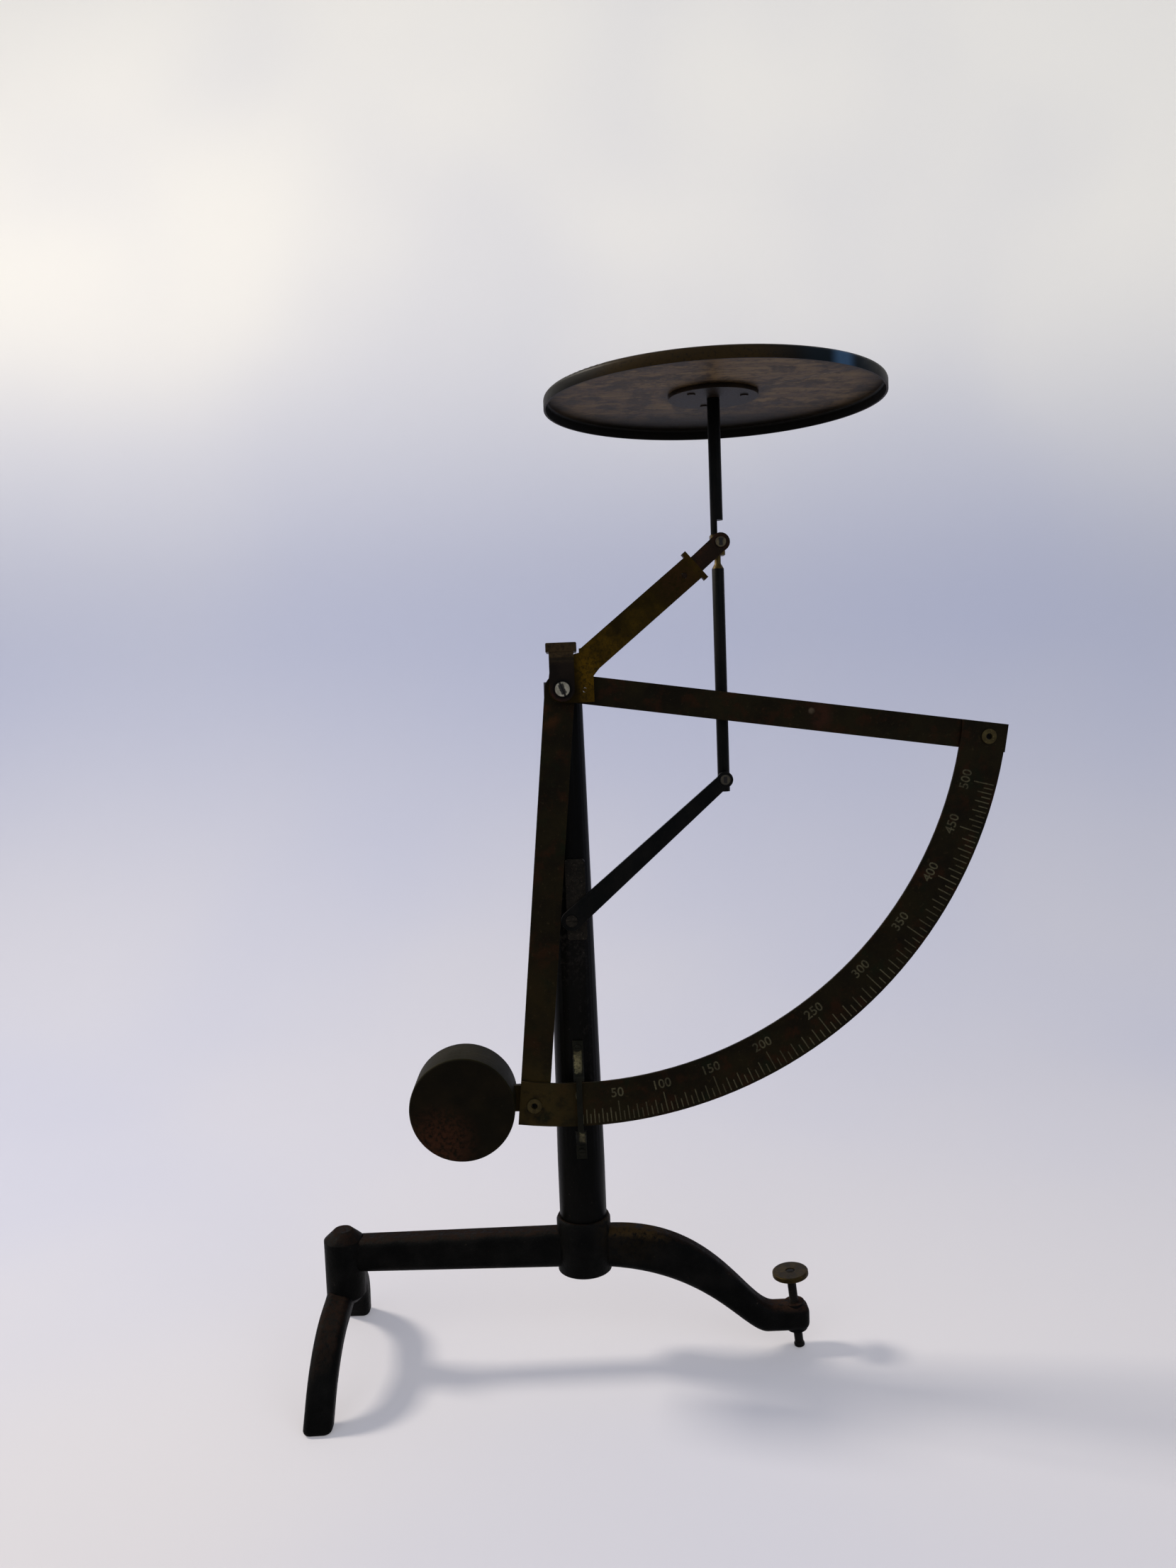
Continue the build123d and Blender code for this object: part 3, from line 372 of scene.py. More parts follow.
def make_arm_brass(tones):
    """Tarnished yellow brass of the arm, golden olive at its root, browner toward its end."""
    b = Bench("arm_brass_tarnish")
    px, pz = PIVOT_X * TO_MM, PIVOT_Z * TO_MM
    broad = b.noise(0.09, 5, 0.65, shift=23)
    fine = b.noise(0.8, 6, 0.75, shift=4)
    specks = b.cells(0.6, 11).rise(0.24, 0.1) * fine.rise(0.46, 0.58)
    root = b.near((px + 12, -8, pz + 8), 4, 13)
    strip = b.axis(0).band(px + 9.0, 2.4, 2.0) * b.axis(2).band(pz + 1, 7, 4)
    far = b.near((px + 40, -8, pz + 35), 3, 10)
    gold = (root * 0.62 + strip * 0.45 + (broad - 0.5) * 1.6).clamp() * fine.rise(0.3, 0.6)
    colour = b.coats(
        tones[0],
        (broad.rise(0.35, 0.68), tones[1]),
        (gold, tones[2]),
        (far * fine.rise(0.36, 0.6) * 0.7, (42, 26, 12)),
        (specks * 0.55, (16, 12, 8)),
    )
    roughness = (0.46 - gold * 0.14 + fine * 0.18).clamp()
    relief = fine * 0.7 + broad * 0.6 - specks * 0.6
    return b.finish(colour, roughness, 0.6, relief, 0.12, specular=0.03)


def make_yoke_brass(tones):
    """Yoke: dark brown cheeks, a reddish stain by the screw, a painted ring of shade round the screw's head
    and a paler bent cap with its bend line.
    """
    b = Bench("yoke_brass_dark")
    px, pz = PIVOT_X * TO_MM, PIVOT_Z * TO_MM
    low, high = node_box("head_bracket")
    front, top = low.y * TO_MM, high.z * TO_MM
    height = b.axis(2)
    broad = b.noise(0.14, 5, 0.65, shift=33)
    fine = b.noise(0.8, 6, 0.75, shift=6)
    bend = height.band(top - 5.4, 0.25, 0.5)
    colour = b.coats(
        tones[0],
        (broad.rise(0.36, 0.66), tones[1]),
        (b.near((px - 4, -13, pz - 4), 1.5, 5) * fine.rise(0.35, 0.6) * 0.8, (48, 22, 14)),
        (height.rise(top - 7.5, top - 4.5) * fine.rise(0.3, 0.6) * 0.85, tones[2]),
        (bend * 0.8, (20, 15, 8)),
        # Painted shade: a near-black ring round the pivot screw's head, where it meets the yoke
        (b.near((px, front, pz), 2.9, 0.9) * 0.8, (6, 5, 4)),
    )
    relief = fine * 0.7 + broad * 0.5 - bend * 0.6
    return b.finish(colour, (0.44 + fine * 0.2).clamp(), 0.5, relief, 0.1, specular=0.08)


def make_weight_brass(tones):
    """Weight: dark face with a reddish lower left, paler turned wall."""
    b = Bench("weight_brass_patina")
    middle = node_middle("weight") * TO_MM
    face = abs(b.facing(1)).rise(0.6, 0.9)
    broad = b.noise(0.08, 5, 0.6, shift=51)
    fine = b.noise(0.8, 5, 0.7, shift=19)
    turned = b.noise(1.6, 2, 0.5, (0.05, 1, 0.05), 3)
    red = b.near((middle.x - 8, middle.y - 9, middle.z - 11), 3, 13) * fine.rise(0.35, 0.6)
    wall = b.coats(
        tones[2], (broad.rise(0.35, 0.65), tones[3]), (fine.rise(0.58, 0.7) * 0.6, (34, 28, 18))
    )
    dark = b.coats(
        tones[0],
        (broad.rise(0.4, 0.65), tones[1]),
        (red * 0.8, (50, 27, 14)),
        (fine.rise(0.62, 0.75) * 0.4, (48, 40, 26)),
    )
    roughness = (0.6 + fine * 0.18 - face * 0.16).clamp()
    relief = fine * 0.4 + turned * (1 - face) * 0.7
    return b.finish(b.coats(wall, (face, dark)), roughness, 0.4, relief, 0.1, specular=0.05)


def make_joint_brass(name, tones):
    """Small brass joints, rivets and the screw's disc: dull golden olive with lighter specks."""
    b = Bench(name)
    broad = b.noise(0.25, 5, 0.65, shift=61)
    fine = b.noise(1.4, 5, 0.7, shift=29)
    colour = b.coats(
        tones[0], (broad.rise(0.36, 0.64), tones[1]), (fine.rise(0.56, 0.7) * 0.75, tones[2])
    )
    roughness = (0.36 + fine * 0.25).clamp()
    return b.finish(colour, roughness, 0.7, fine * 0.6 + broad * 0.3, 0.07, specular=0.12)


def make_pan_metal(tones):
    """Pan: brown film below, plain sheet on top, a nearly black rim, golden on the near side, and painted
    shade, shadow, reflection and highlight.
    """
    b = Bench("pan_satin_metal")
    middle = node_middle("pan_plate") * TO_MM
    across = b.axis(0) - middle.x
    away = b.axis(1) - middle.y
    reach = b.math("SQRT", across * across + away * away)
    outward = (b.facing(0) * across + b.facing(1) * away) / reach
    up = b.facing(2)
    below = up.rise(-0.5, -0.9)
    near_side = away.rise(0, -20)
    broad = b.noise(0.045, 5, 0.6, (1, 1, 1), 71)
    streak = b.noise(0.28, 5, 0.65, (0.16, 1, 1), 37)
    turned = b.node(
        "ShaderNodeTexNoise", {"noise_dimensions": "1D"}, {"W": reach, "Scale": 0.9, "Detail": 4.0}, "Fac"
    )
    fine = b.noise(1.1, 4, 0.7, shift=5)
    stain = b.noise(0.12, 5, 0.7, shift=90)
    mottle = b.noise(0.34, 4, 0.7, (0.5, 1, 1), 55)
    top = b.coats(
        (84, 77, 64), (turned.rise(0.3, 0.7), (104, 96, 80)), (stain.rise(0.5, 0.66) * 0.4, (66, 57, 43))
    )
    # Painted shadow: a dark ring on the underside round the flange
    painted_flange_shadow = (1 - reach.rise(15.5, 21)) * below
    outer = outward.rise(0.25, 0.7)
    inner = outward.rise(-0.25, -0.7)
    gold = outer * away.rise(-24, -44) * across.band(-14, 18, 16) * fine.rise(0.25, 0.5)
    colour = b.coats(
        tones[0],
        (broad.rise(0.35, 0.66), tones[1]),
        (streak.rise(0.46, 0.62) * 0.75, tones[2]),
        (stain.rise(0.46, 0.6) * 0.75, (32, 23, 13)),
        (mottle.rise(0.5, 0.64) * below * 0.6, (30, 22, 12)),
        # Painted shade and reflection: the underside darkens towards its edge and towards its far side
        (reach.rise(46, 56) * 0.8, (22, 18, 13)),
        (away.rise(10, 46) * below * 0.92, (9, 7, 4)),
        # Painted shadow of the flange
        (painted_flange_shadow * 0.6, (24, 18, 11)),
        (up.rise(0.4, 0.9), top),
        # The rim is nearly black; on its inner face this is painted shade
        ((outer + inner) * 0.96, (8, 7, 4)),
        (gold * 0.6, (44, 31, 6)),
        # Painted reflection: a dark bluish band on the near rim's outer face, with a painted bluish-white
        # highlight in it
        (outer * across.band(32, 8, 8) * near_side * 0.6, (11, 22, 27)),
        (outer * across.band(33, 0.8, 4.5) * near_side * 0.7, (58, 84, 108)),
    )
    roughness = (0.32 + streak * 0.16 + fine * 0.12).clamp()
    relief = turned * 0.35 + streak * 0.4 + fine * 0.3
    metallic = 0.06 + up.rise(0.3, 0.8) * 0.5
    return b.finish(colour, roughness, metallic, relief, 0.06, specular=0.05)


def make_rod_steel(name, tones, metallic=0.6):
    """Dark drawn steel with brown bloom."""
    b = Bench(name)
    broad = b.noise(0.12, 4, 0.6, (1, 1, 0.5), 15)
    fine = b.noise(1.2, 5, 0.7, shift=21)
    drawn = b.noise(1.5, 2, 0.5, (1, 1, 0.05), 8)
    colour = b.coats(
        tones[0], (broad.rise(0.38, 0.64), tones[1]), (fine.rise(0.56, 0.72) * 0.45, tones[2])
    )
    roughness = (0.34 + fine * 0.2 + broad * 0.08).clamp()
    return b.finish(colour, roughness, metallic, fine * 0.5 + drawn * 0.4, 0.06, specular=0.06)


def make_screw_head(name, tones, middle, reach, lean=0.0):
    """Screw and pin heads: bright crown of a given reach, painted shade along a leaning slot, dull flanks.
    """
    b = Bench(name)
    broad = b.noise(0.5, 4, 0.6, shift=33)
    fine = b.noise(2.2, 4, 0.7, shift=2)
    front = b.facing(1).rise(-0.5, -0.85) * b.axis(1).rise(middle.y + 0.55, middle.y + 0.2)
    right, up = b.axis(0) - middle.x, b.axis(2) - middle.z
    aside = right * math.cos(lean) + up * math.sin(lean) + (fine - 0.5) * 0.8
    along = up * math.cos(lean) - right * math.sin(lean)
    # Painted shade: the slot is darkened along its length
    painted_slot_shade = aside.band(0, reach * 0.28, reach * 0.14) * along.band(0, reach * 0.55, reach * 0.2)
    rim = 1 - b.near(middle, reach * 0.84, reach * 0.1)
    colour = b.coats(
        tones[0],
        (broad.rise(0.35, 0.65), tones[1]),
        ((1 - front) * 0.95, tones[2]),
        (painted_slot_shade * 0.95 + rim * 0.8, tones[2]),
    )
    return b.finish(colour, (0.3 + fine * 0.25).clamp(), 0.6, fine * 0.4, 0.04, specular=0.4)


def make_pointer_metal(tones):
    """Pointer: two pale places above and below the dial, painted highlights where its bent feet catch the
    light, dark olive between them.
    """
    b = Bench("pointer_metal")
    pz = PIVOT_Z * TO_MM
    fine = b.noise(0.9, 5, 0.7, shift=44)
    broad = b.noise(0.2, 4, 0.6, shift=14)
    height = b.axis(2) + (broad - 0.5) * 5
    aside = b.axis(0) - node_middle("index_pointer").x * TO_MM + (fine - 0.5) * 1.2
    # Painted highlights on the two slanting feet
    upper = height.band(pz - 127.8, 2.4, 1.0) * aside.band(-0.1, 0.9, 0.7)
    lower = height.band(pz - 154.6, 2.2, 1.2) * aside.band(0.4, 0.6, 0.7)
    pale = b.coats(tones[0], (fine.rise(0.35, 0.65), tones[1]))
    colour = b.coats(tones[2], (broad.rise(0.35, 0.65), tones[3]), ((upper + lower) * 0.95, pale))
    return b.finish(colour, (0.4 + fine * 0.25).clamp(), 0.5, fine * 0.6, 0.06, specular=0.1)


def make_mark_paint(name, tones):
    """Pale filling of the dial's marks and numbers, worn away in places."""
    b = Bench(name)
    broad = b.noise(0.13, 4, 0.65, shift=27)
    fine = b.noise(1.9, 4, 0.7, shift=12)
    wear = (broad.rise(0.4, 0.58) * 0.6 + fine.rise(0.42, 0.62) * 0.55).clamp()
    colour = b.coats(tones[0], (wear * 0.85, tones[1]))
    return b.finish(colour, (0.55 + fine * 0.25).clamp(), 0.1, fine * 0.6, 0.03, specular=0.1)


def make_bore_dark():
    """Near-black bottom of the hollow rivets: painted shade."""
    b = Bench("rivet_bore_dark")
    fine = b.noise(1.6, 3, 0.6)
    colour = b.coats((6, 5, 4), (fine, (20, 16, 11)))
    return b.finish(colour, (0.6 + fine * 0.3).clamp(), 0.1, fine, 0.03, specular=0.15)


# Sizes and colours that a user may change


class ScaleSizes(bpy.types.PropertyGroup):
    """Sizes of the pieces that this script adds to the frame."""

    dial_reach: FloatProperty(
        name="Dial edge",
        description="Radius of the quadrant's outer edge about the pivot",
        default=150.1 * MM,
        unit="LENGTH",
    )
    mark_inset: FloatProperty(
        name="Mark inset", description="Bare metal between edge and marks", default=0.9 * MM, unit="LENGTH"
    )
    short_mark: FloatProperty(
        name="Short mark", description="Length of odd marks", default=3.2 * MM, unit="LENGTH"
    )
    middle_mark: FloatProperty(
        name="Middle mark", description="Length of even marks", default=4.9 * MM, unit="LENGTH"
    )
    long_mark: FloatProperty(
        name="Long mark", description="Length of numbered marks", default=7.0 * MM, unit="LENGTH"
    )
    mark_width: FloatProperty(
        name="Mark width", description="Width of a mark", default=0.42 * MM, unit="LENGTH"
    )
    mark_height: FloatProperty(
        name="Mark relief", description="How far the filling stands out", default=0.03 * MM, unit="LENGTH"
    )
    number_size: FloatProperty(
        name="Number size", description="Height of the numbers", default=3.3 * MM, unit="LENGTH"
    )
    number_reach: FloatProperty(
        name="Number radius", description="Radius of the numbers' middle", default=139.4 * MM, unit="LENGTH"
    )
    divisions: IntProperty(name="Divisions", description="Numbered steps of the dial", default=10, min=1)
    parts_each: IntProperty(name="Parts", description="Marks in one numbered step", default=10, min=1)
    step_value: IntProperty(name="Step", description="Grams from number to number", default=50, min=1)
    lever_angle: FloatProperty(
        name="Lever angle",
        description="Rise of the pan's arm at rest, which spaces the marks",
        default=math.radians(40.7),
        subtype="ANGLE",
    )
    lever_share: FloatProperty(
        name="Lever share", description="Load of one step over the beam's balance load", default=0.1175
    )
    thread_pitch: FloatProperty(
        name="Thread pitch", description="Pitch of the screw", default=0.6 * MM, unit="LENGTH"
    )
    thread_depth: FloatProperty(
        name="Thread depth", description="Depth of the thread", default=0.2 * MM, unit="LENGTH"
    )
    knurl_count: IntProperty(name="Knurls", description="Ridges round the screw's disc", default=64, min=8)


class ScaleColours(bpy.types.PropertyGroup):
    """Display colours, from 0 to 255, of the main finishes: base, variation and wear."""

    paint_dark: FloatVectorProperty(name="Paint", description="Black paint", size=3, default=(4, 4, 3))
    paint_worn: FloatVectorProperty(
        name="Thin paint", description="Where paint is thin", size=3, default=(12, 11, 9)
    )
    rust: FloatVectorProperty(name="Rust", description="Rust on upper faces", size=3, default=(27, 17, 11))
    brass_dark: FloatVectorProperty(
        name="Dark brass", description="Dark patina", size=3, default=(16, 12, 5)
    )
    brass_olive: FloatVectorProperty(
        name="Olive brass", description="Olive patina", size=3, default=(25, 20, 7)
    )
    brass_gold: FloatVectorProperty(
        name="Bright brass", description="Rubbed brass", size=3, default=(70, 50, 6)
    )
    pan_base: FloatVectorProperty(
        name="Pan", description="Brown film under the pan", size=3, default=(66, 49, 27)
    )
    marks: FloatVectorProperty(
        name="Marks", description="Filling of the marks", size=3, default=(68, 63, 43)
    )


def sizes():
    """The sizes in use."""
    return bpy.context.scene.letter_scale_sizes


def colours():
    """The colours in use."""
    return bpy.context.scene.letter_scale_colours


# Pieces


def placed(name, data):
    """A new object in the scene."""
    obj = bpy.data.objects.new(name, data)
    bpy.context.collection.objects.link(obj)
    return obj


def link(mesh, name, body):
    """Puts a finished mesh into the scene as a piece that rides on a body."""
    obj = placed(name, mesh)
    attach(obj, body)
    return obj


def as_mesh(form, name):
    """A finished form as a named mesh."""
    mesh = bpy.data.meshes.new(name)
    form.to_mesh(mesh)
    form.free()
    return mesh


def plain_mesh(obj, name):
    """The evaluated shape of an object as a plain mesh; the object itself goes."""
    graph = bpy.context.evaluated_depsgraph_get()
    graph.update()
    mesh = bpy.data.meshes.new_from_object(obj.evaluated_get(graph), depsgraph=graph)
    mesh.name = name
    data = obj.data
    bpy.data.objects.remove(obj, do_unlink=True)
    if data.users == 0 and isinstance(data, bpy.types.Mesh):
        bpy.data.meshes.remove(data)
    return mesh


def rounded_copy(node, width):
    """Copy of a node's mesh with its doubles merged, its flats joined and its sharp edges rounded."""
    form = bmesh.new()
    form.from_mesh(NODES[node].data)
    form.transform(NODES[node].matrix_world)
    bmesh.ops.remove_doubles(form, verts=form.verts, dist=MERGE_GAP)
    bmesh.ops.dissolve_limit(
        form, angle_limit=FLAT_ANGLE, verts=form.verts, edges=form.edges, use_dissolve_boundaries=False
    )
    edges = [e for e in form.edges if len(e.link_faces) == 2 and e.calc_face_angle(0) > SHARP_ANGLE]
    if width > 0 and edges:
        bmesh.ops.bevel(
            form,
            geom=edges,
            offset=width,
            segments=BEVEL_STEPS,
            profile=0.5,
            affect="EDGES",
            clamp_overlap=True,
        )
    for face in form.faces:
        face.smooth = True
    for edge in form.edges:
        edge.smooth = len(edge.link_faces) == 2 and edge.calc_face_angle(0) < SMOOTH_ANGLE
    mesh = as_mesh(form, node + "_dressed")
    flatten_shading(mesh)
    return mesh


def flatten_shading(mesh):
    """Gives every corner of a large many-sided flat its own direction, so that it shades as a flat."""
    directions = [tuple(corner.vector) for corner in mesh.corner_normals]
    for polygon in mesh.polygons:
        if polygon.loop_total > FLAT_SIDES and polygon.area > FLAT_AREA:
            for index in polygon.loop_indices:
                directions[index] = tuple(polygon.normal)
    mesh.normals_split_custom_set(directions)


def dress(node, width, material):
    """Replaces a node by its rounded copy in a finish."""
    mesh = rounded_copy(node, width * MM)
    mesh.materials.append(material)
    obj = link(mesh, node + "_dressed", BODY_OF[node])
    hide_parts(node)
    return obj


def dress_group(entries, material):
    """Dresses several nodes in one finish: each entry is a node and its rounding in millimetres."""
    for node, width in entries:
        dress(node, width, material)


class SCALE_OT_castings(bpy.types.Operator):
    """Dress the cast base and the cross-head with rounded rims and worn black paint"""

    bl_idname = "letter_scale.castings"
    bl_label = "Castings"

    def execute(self, context):
        c = colours()
        paint = make_cast_black((c.paint_dark, c.paint_worn, c.rust))
        dress_group((("base_casting", 0.35), ("leg_casting", 0.35)), paint)
        steel = make_rod_steel("base_screw_steel", ((24, 22, 20), (34, 30, 26), (52, 42, 32)))
        screws = (("leg_screw", 0.1), ("column_screw", 0.1), ("head_screw", 0.05))
        dress_group(screws, steel)
        return {"FINISHED"}


class SCALE_OT_column(bpy.types.Operator):
    """Dress the column and its yoke"""

    bl_idname = "letter_scale.column"
    bl_label = "Column and yoke"

    def execute(self, context):
        c = colours()
        # The third colour is the painted bluish sheen on the column's right flank
        enamel = make_column_paint((c.paint_dark, (9, 8, 6), (13, 13, 15)))
        dress("column", 0.25, enamel)
        yoke = make_yoke_brass(((15, 10, 6), (23, 16, 10), (52, 40, 22)))
        dress("head_bracket", 0.3, yoke)
        return {"FINISHED"}


class SCALE_OT_pointer(bpy.types.Operator):
    """Dress the pivot screws, the bent pointer, the link's pad and their screws"""

    bl_idname = "letter_scale.pointer"
    bl_label = "Pointer and pads"

    def execute(self, context):
        # The third colour also paints the shade in the screw's slot
        tones = ((112, 106, 88), (150, 143, 124), (13, 10, 7))
        head = head_front("front_pivot_screw")
        bright = make_screw_head("pivot_screw_steel", tones, head, 2.65, PIVOT_SLOT_LEAN)
        screw = dress("front_pivot_screw", 0.2, bright)
        # The slot lies level in the frame and leans on the real screw
        axis = Vector((PIVOT_X, 0, PIVOT_Z))
        lean = Matrix.Rotation(math.pi / 2 - PIVOT_SLOT_LEAN, 4, "Y")
        screw.data.transform(Matrix.Translation(axis) @ lean @ Matrix.Translation(-axis))
        plain = make_rod_steel("pivot_pin_steel", ((64, 60, 52), (86, 80, 68), (112, 104, 88)))
        dress("rear_pivot_pin", 0.1, plain)
        # The first two colours are the painted highlights on the pointer's feet
        pointer = make_pointer_metal(((50, 46, 28), (88, 82, 58), (12, 12, 6), (20, 19, 11)))
        dress_group((("index_pointer", 0.12), ("index_screws", 0.1)), pointer)
        pad = make_joint_brass("link_pad_metal", ((17, 15, 11), (30, 26, 20), (72, 64, 52)))
        pads = (("link_plate", 0.15), ("link_plate_screws", 0.1), ("link_stud", 0.15))
        dress_group(pads, pad)
        return {"FINISHED"}


class SCALE_OT_beam(bpy.types.Operator):
    """Dress the bars, the quadrant, the arm and their rivets"""

    bl_idname = "letter_scale.beam"
    bl_label = "Beam"

    def execute(self, context):
        c = colours()
        corner = node_box("quadrant")[0]
        left = Vector((corner.x + 4 * MM, BEAM_Y, corner.z)) * TO_MM
        pivot = Vector((PIVOT_X, BEAM_Y, PIVOT_Z)) * TO_MM
        # Each worn place: its middle, how far it is full, how far it fades, and its shade
        places = (
            (left + Vector((0, 0, 6)), 5, 20, (46, 36, 13)),
            (left + Vector((2, 0, 44)), 3, 18, (30, 23, 7)),
            (pivot + Vector((-5.5, 0, -9)), 1, 5, (52, 28, 10)),
            (pivot + Vector((83.3, -0.8, -10.4)), 0.5, 0.9, (96, 86, 68)),
            (pivot + Vector((86, -0.8, -12)), 1.5, 5, (44, 24, 14)),
        )
        tones = (c.brass_dark, c.brass_olive, (36, 19, 7), (14, 20, 8))
        dark = make_dark_brass("dark_brass_patina", tones, places)
        plates = (("top_bar", 0.12), ("side_bar", 0.12), ("quadrant", 0.1), ("weight_tang", 0.15))
        dress_group(plates, dark)
        arm = make_arm_brass(((27, 20, 5), (40, 30, 6), c.brass_gold))
        dress("beam_casting", 0.3, arm)
        tones = ((20, 13, 8), (30, 20, 11), (42, 24, 12), (18, 16, 10))
        tongue = make_dark_brass("tongue_steel_brown", tones)
        strips = (("arm_tongue", 0.12), ("beam_arbor", 0.12), ("tongue_rivet", 0.12))
        dress_group(strips, tongue)
        rivet = make_joint_brass("rivet_brass_dull", ((42, 35, 17), (60, 51, 27), (100, 90, 56)))
        dress("quadrant_rivets", 0.14, rivet)
        hub = dress("hub_rivets", 0, arm)
        # Flush rivets stand a hair out of the bar, so that their outline shows
        proud = 1.02
        middle = node_middle("hub_rivets").y
        for vertex in hub.data.vertices:
            vertex.co.y = middle + (vertex.co.y - middle) * proud
        self.bores()
        return {"FINISHED"}

    def bores(self):
        """Dark bottoms in the two hollow rivets: painted shade, so that no light comes through them."""
        radius, depth = 0.95 * MM, 0.5 * MM
        points = [v.co for v in NODES["quadrant_rivets"].data.vertices]
        middle = sum(p.x for p in points) / len(points)
        form = bmesh.new()
        for half in ([p for p in points if p.x < middle], [p for p in points if p.x > middle]):
            centre = Vector([(min(axis) + max(axis)) / 2 for axis in zip(*half)])
            turn = Matrix.Translation(centre) @ Matrix.Rotation(math.pi / 2, 4, "X")
            bmesh.ops.create_cone(
                form, cap_ends=True, segments=24, radius1=radius, radius2=radius, depth=depth, matrix=turn
            )
        mesh = as_mesh(form, "rivet_bores")
        mesh.materials.append(make_bore_dark())
        link(mesh, "rivet_bores", "beam")


class SCALE_OT_weight(bpy.types.Operator):
    """Dress the balance weight and its screw"""

    bl_idname = "letter_scale.weight"
    bl_label = "Balance weight"

    def execute(self, context):
        brass = make_weight_brass(((13, 10, 4), (20, 15, 6), (20, 17, 4), (29, 25, 9)))
        dress("weight", 0.1, brass)
        steel = make_rod_steel("weight_screw_steel", ((30, 28, 24), (42, 38, 30), (64, 54, 40)))
        dress("weight_screw", 0.1, steel)
        return {"FINISHED"}


class SCALE_OT_pan(bpy.types.Operator):
    """Dress the pan, its flange and rivets"""

    bl_idname = "letter_scale.pan"
    bl_label = "Pan"

    def execute(self, context):
        c = colours()
        satin = make_pan_metal((c.pan_base, (82, 64, 39), (100, 82, 55)))
        dress("pan_plate", 0.1, satin)
        tones = ((22, 16, 9), (33, 25, 15), (50, 40, 26))
        flange = make_rod_steel("flange_metal", tones, metallic=0.15)
        dress_group((("pan_flange", 0.3), ("flange_rivets", 0.15)), flange)
        return {"FINISHED"}


class SCALE_OT_rods(bpy.types.Operator):
    """Dress the rods, their joint, the pins and the lower link"""

    bl_idname = "letter_scale.rods"
    bl_label = "Rods and link"

    def execute(self, context):
        steel = make_rod_steel("rod_steel_dark", ((9, 10, 9), (16, 15, 13), (30, 26, 19)))
        dress_group((("pan_stem", 0.1), ("lower_rod", 0.15), ("lower_link", 0.15)), steel)
        joint = make_joint_brass("rod_joint_brass", ((50, 40, 18), (72, 58, 26), (104, 90, 54)))
        dress_group((("stem_knuckle", 0.15), ("pin_spacer", 0.1)), joint)
        # The third colour of each pin head also paints the shade along its slot
        tones = ((44, 36, 20), (78, 68, 44), (14, 11, 7))
        pin = make_screw_head("pin_head_worn", tones, head_front("stem_pin"), 1.9)
        dress("stem_pin", 0.25, pin)
        tones = ((40, 36, 26), (58, 52, 38), (14, 11, 8))
        pin = make_screw_head("rod_pin_worn", tones, head_front("rod_pin"), 1.8)
        dress("rod_pin", 0.2, pin)
        return {"FINISHED"}


class SCALE_OT_levelling(bpy.types.Operator):
    """Cut the levelling screw's thread and knurl its disc"""

    bl_idname = "letter_scale.levelling"
    bl_label = "Levelling screw"

    def execute(self, context):
        s = sizes()
        radius, top_gap = 1.6 * MM, 0.2 * MM
        top = node_box("levelling_screw")[1].z - top_gap
        # The screw's axis passes through the middle of its disc
        disc = node_middle("thumb_disc")
        up = Vector((-math.sin(SCREW_LEAN), 0, math.cos(SCREW_LEAN)))
        foot = disc - up * (disc.z / math.cos(SCREW_LEAN))
        length = top / math.cos(SCREW_LEAN)
        mesh = threaded_rod(foot, up, length, radius, s.thread_pitch, s.thread_depth)
        steel = make_rod_steel("screw_steel", ((20, 18, 15), (32, 28, 22), (52, 44, 34)))
        mesh.materials.append(steel)
        screw = link(mesh, "levelling_screw_threaded", "levelling_screw")
        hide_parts("levelling_screw")
        brass = make_joint_brass("disc_brass", ((28, 21, 6), (46, 36, 12), (90, 74, 36)))
        dress("thumb_disc", 0.1, brass)
        ridges = knurl_ridges(disc, up, s.knurl_count, brass)
        return {"FINISHED"}


def off_axis(up, reach, turn):
    """Step off an axis that leans along X, at a turn about it."""
    side = Vector((up.z, 0, -up.x))
    return side * (reach * math.cos(turn)) + up.cross(side) * (reach * math.sin(turn))


def threaded_rod(foot, up, length, radius, pitch, depth):
    """Round-tipped rod whose surface follows one helix, closed at both ends."""
    around = 24
    rows_each = 8
    chamfer = 0.15 * MM
    tip_height = 0.02 * MM
    # Height and radius of each ring of the ball tip
    tip_rings = (
        (0.25 * MM, 1.45 * MM),
        (0.6 * MM, 1.9 * MM),
        (1.5 * MM, 1.9 * MM),
        (1.75 * MM, radius),
    )
    start, end = 2.0 * MM, length - 0.9 * MM
    rows = int((end - start) / pitch * rows_each)
    form = bmesh.new()

    def ring(height, reach):
        """One ring of corners; the reach is a radius or a rule for it."""
        corners = []
        for k in range(around):
            turn = 2 * math.pi * k / around
            r = reach(turn, height) if callable(reach) else reach
            corners.append(form.verts.new(foot + up * height + off_axis(up, r, turn)))
        return corners

    def crest(turn, height):
        """Radius of the helix, fading out at both of its ends."""
        wave = (height / pitch - turn / (2 * math.pi)) % 1.0
        cut = 1 - abs(2 * wave - 1) ** 0.8
        fade = min(1.0, max(0.0, min(height - start, end - height) / (2 * pitch)))
        return radius - depth * cut * fade

    rings = [ring(height, reach) for height, reach in tip_rings]
    rings += [ring(start + (end - start) * i / rows, crest) for i in range(rows + 1)]
    rings += [ring(length - chamfer, radius), ring(length, radius - chamfer)]
    for low, high in zip(rings, rings[1:]):
        for k in range(around):
            n = (k + 1) % around
            form.faces.new((low[k], low[n], high[n], high[k]))
    tip = form.verts.new(foot + up * tip_height)
    cap = form.verts.new(foot + up * length)
    for k in range(around):
        n = (k + 1) % around
        form.faces.new((tip, rings[0][n], rings[0][k]))
        form.faces.new((cap, rings[-1][k], rings[-1][n]))
    bmesh.ops.recalc_face_normals(form, faces=form.faces)
    for face in form.faces:
        face.smooth = True
    return as_mesh(form, "levelling_screw_threaded")


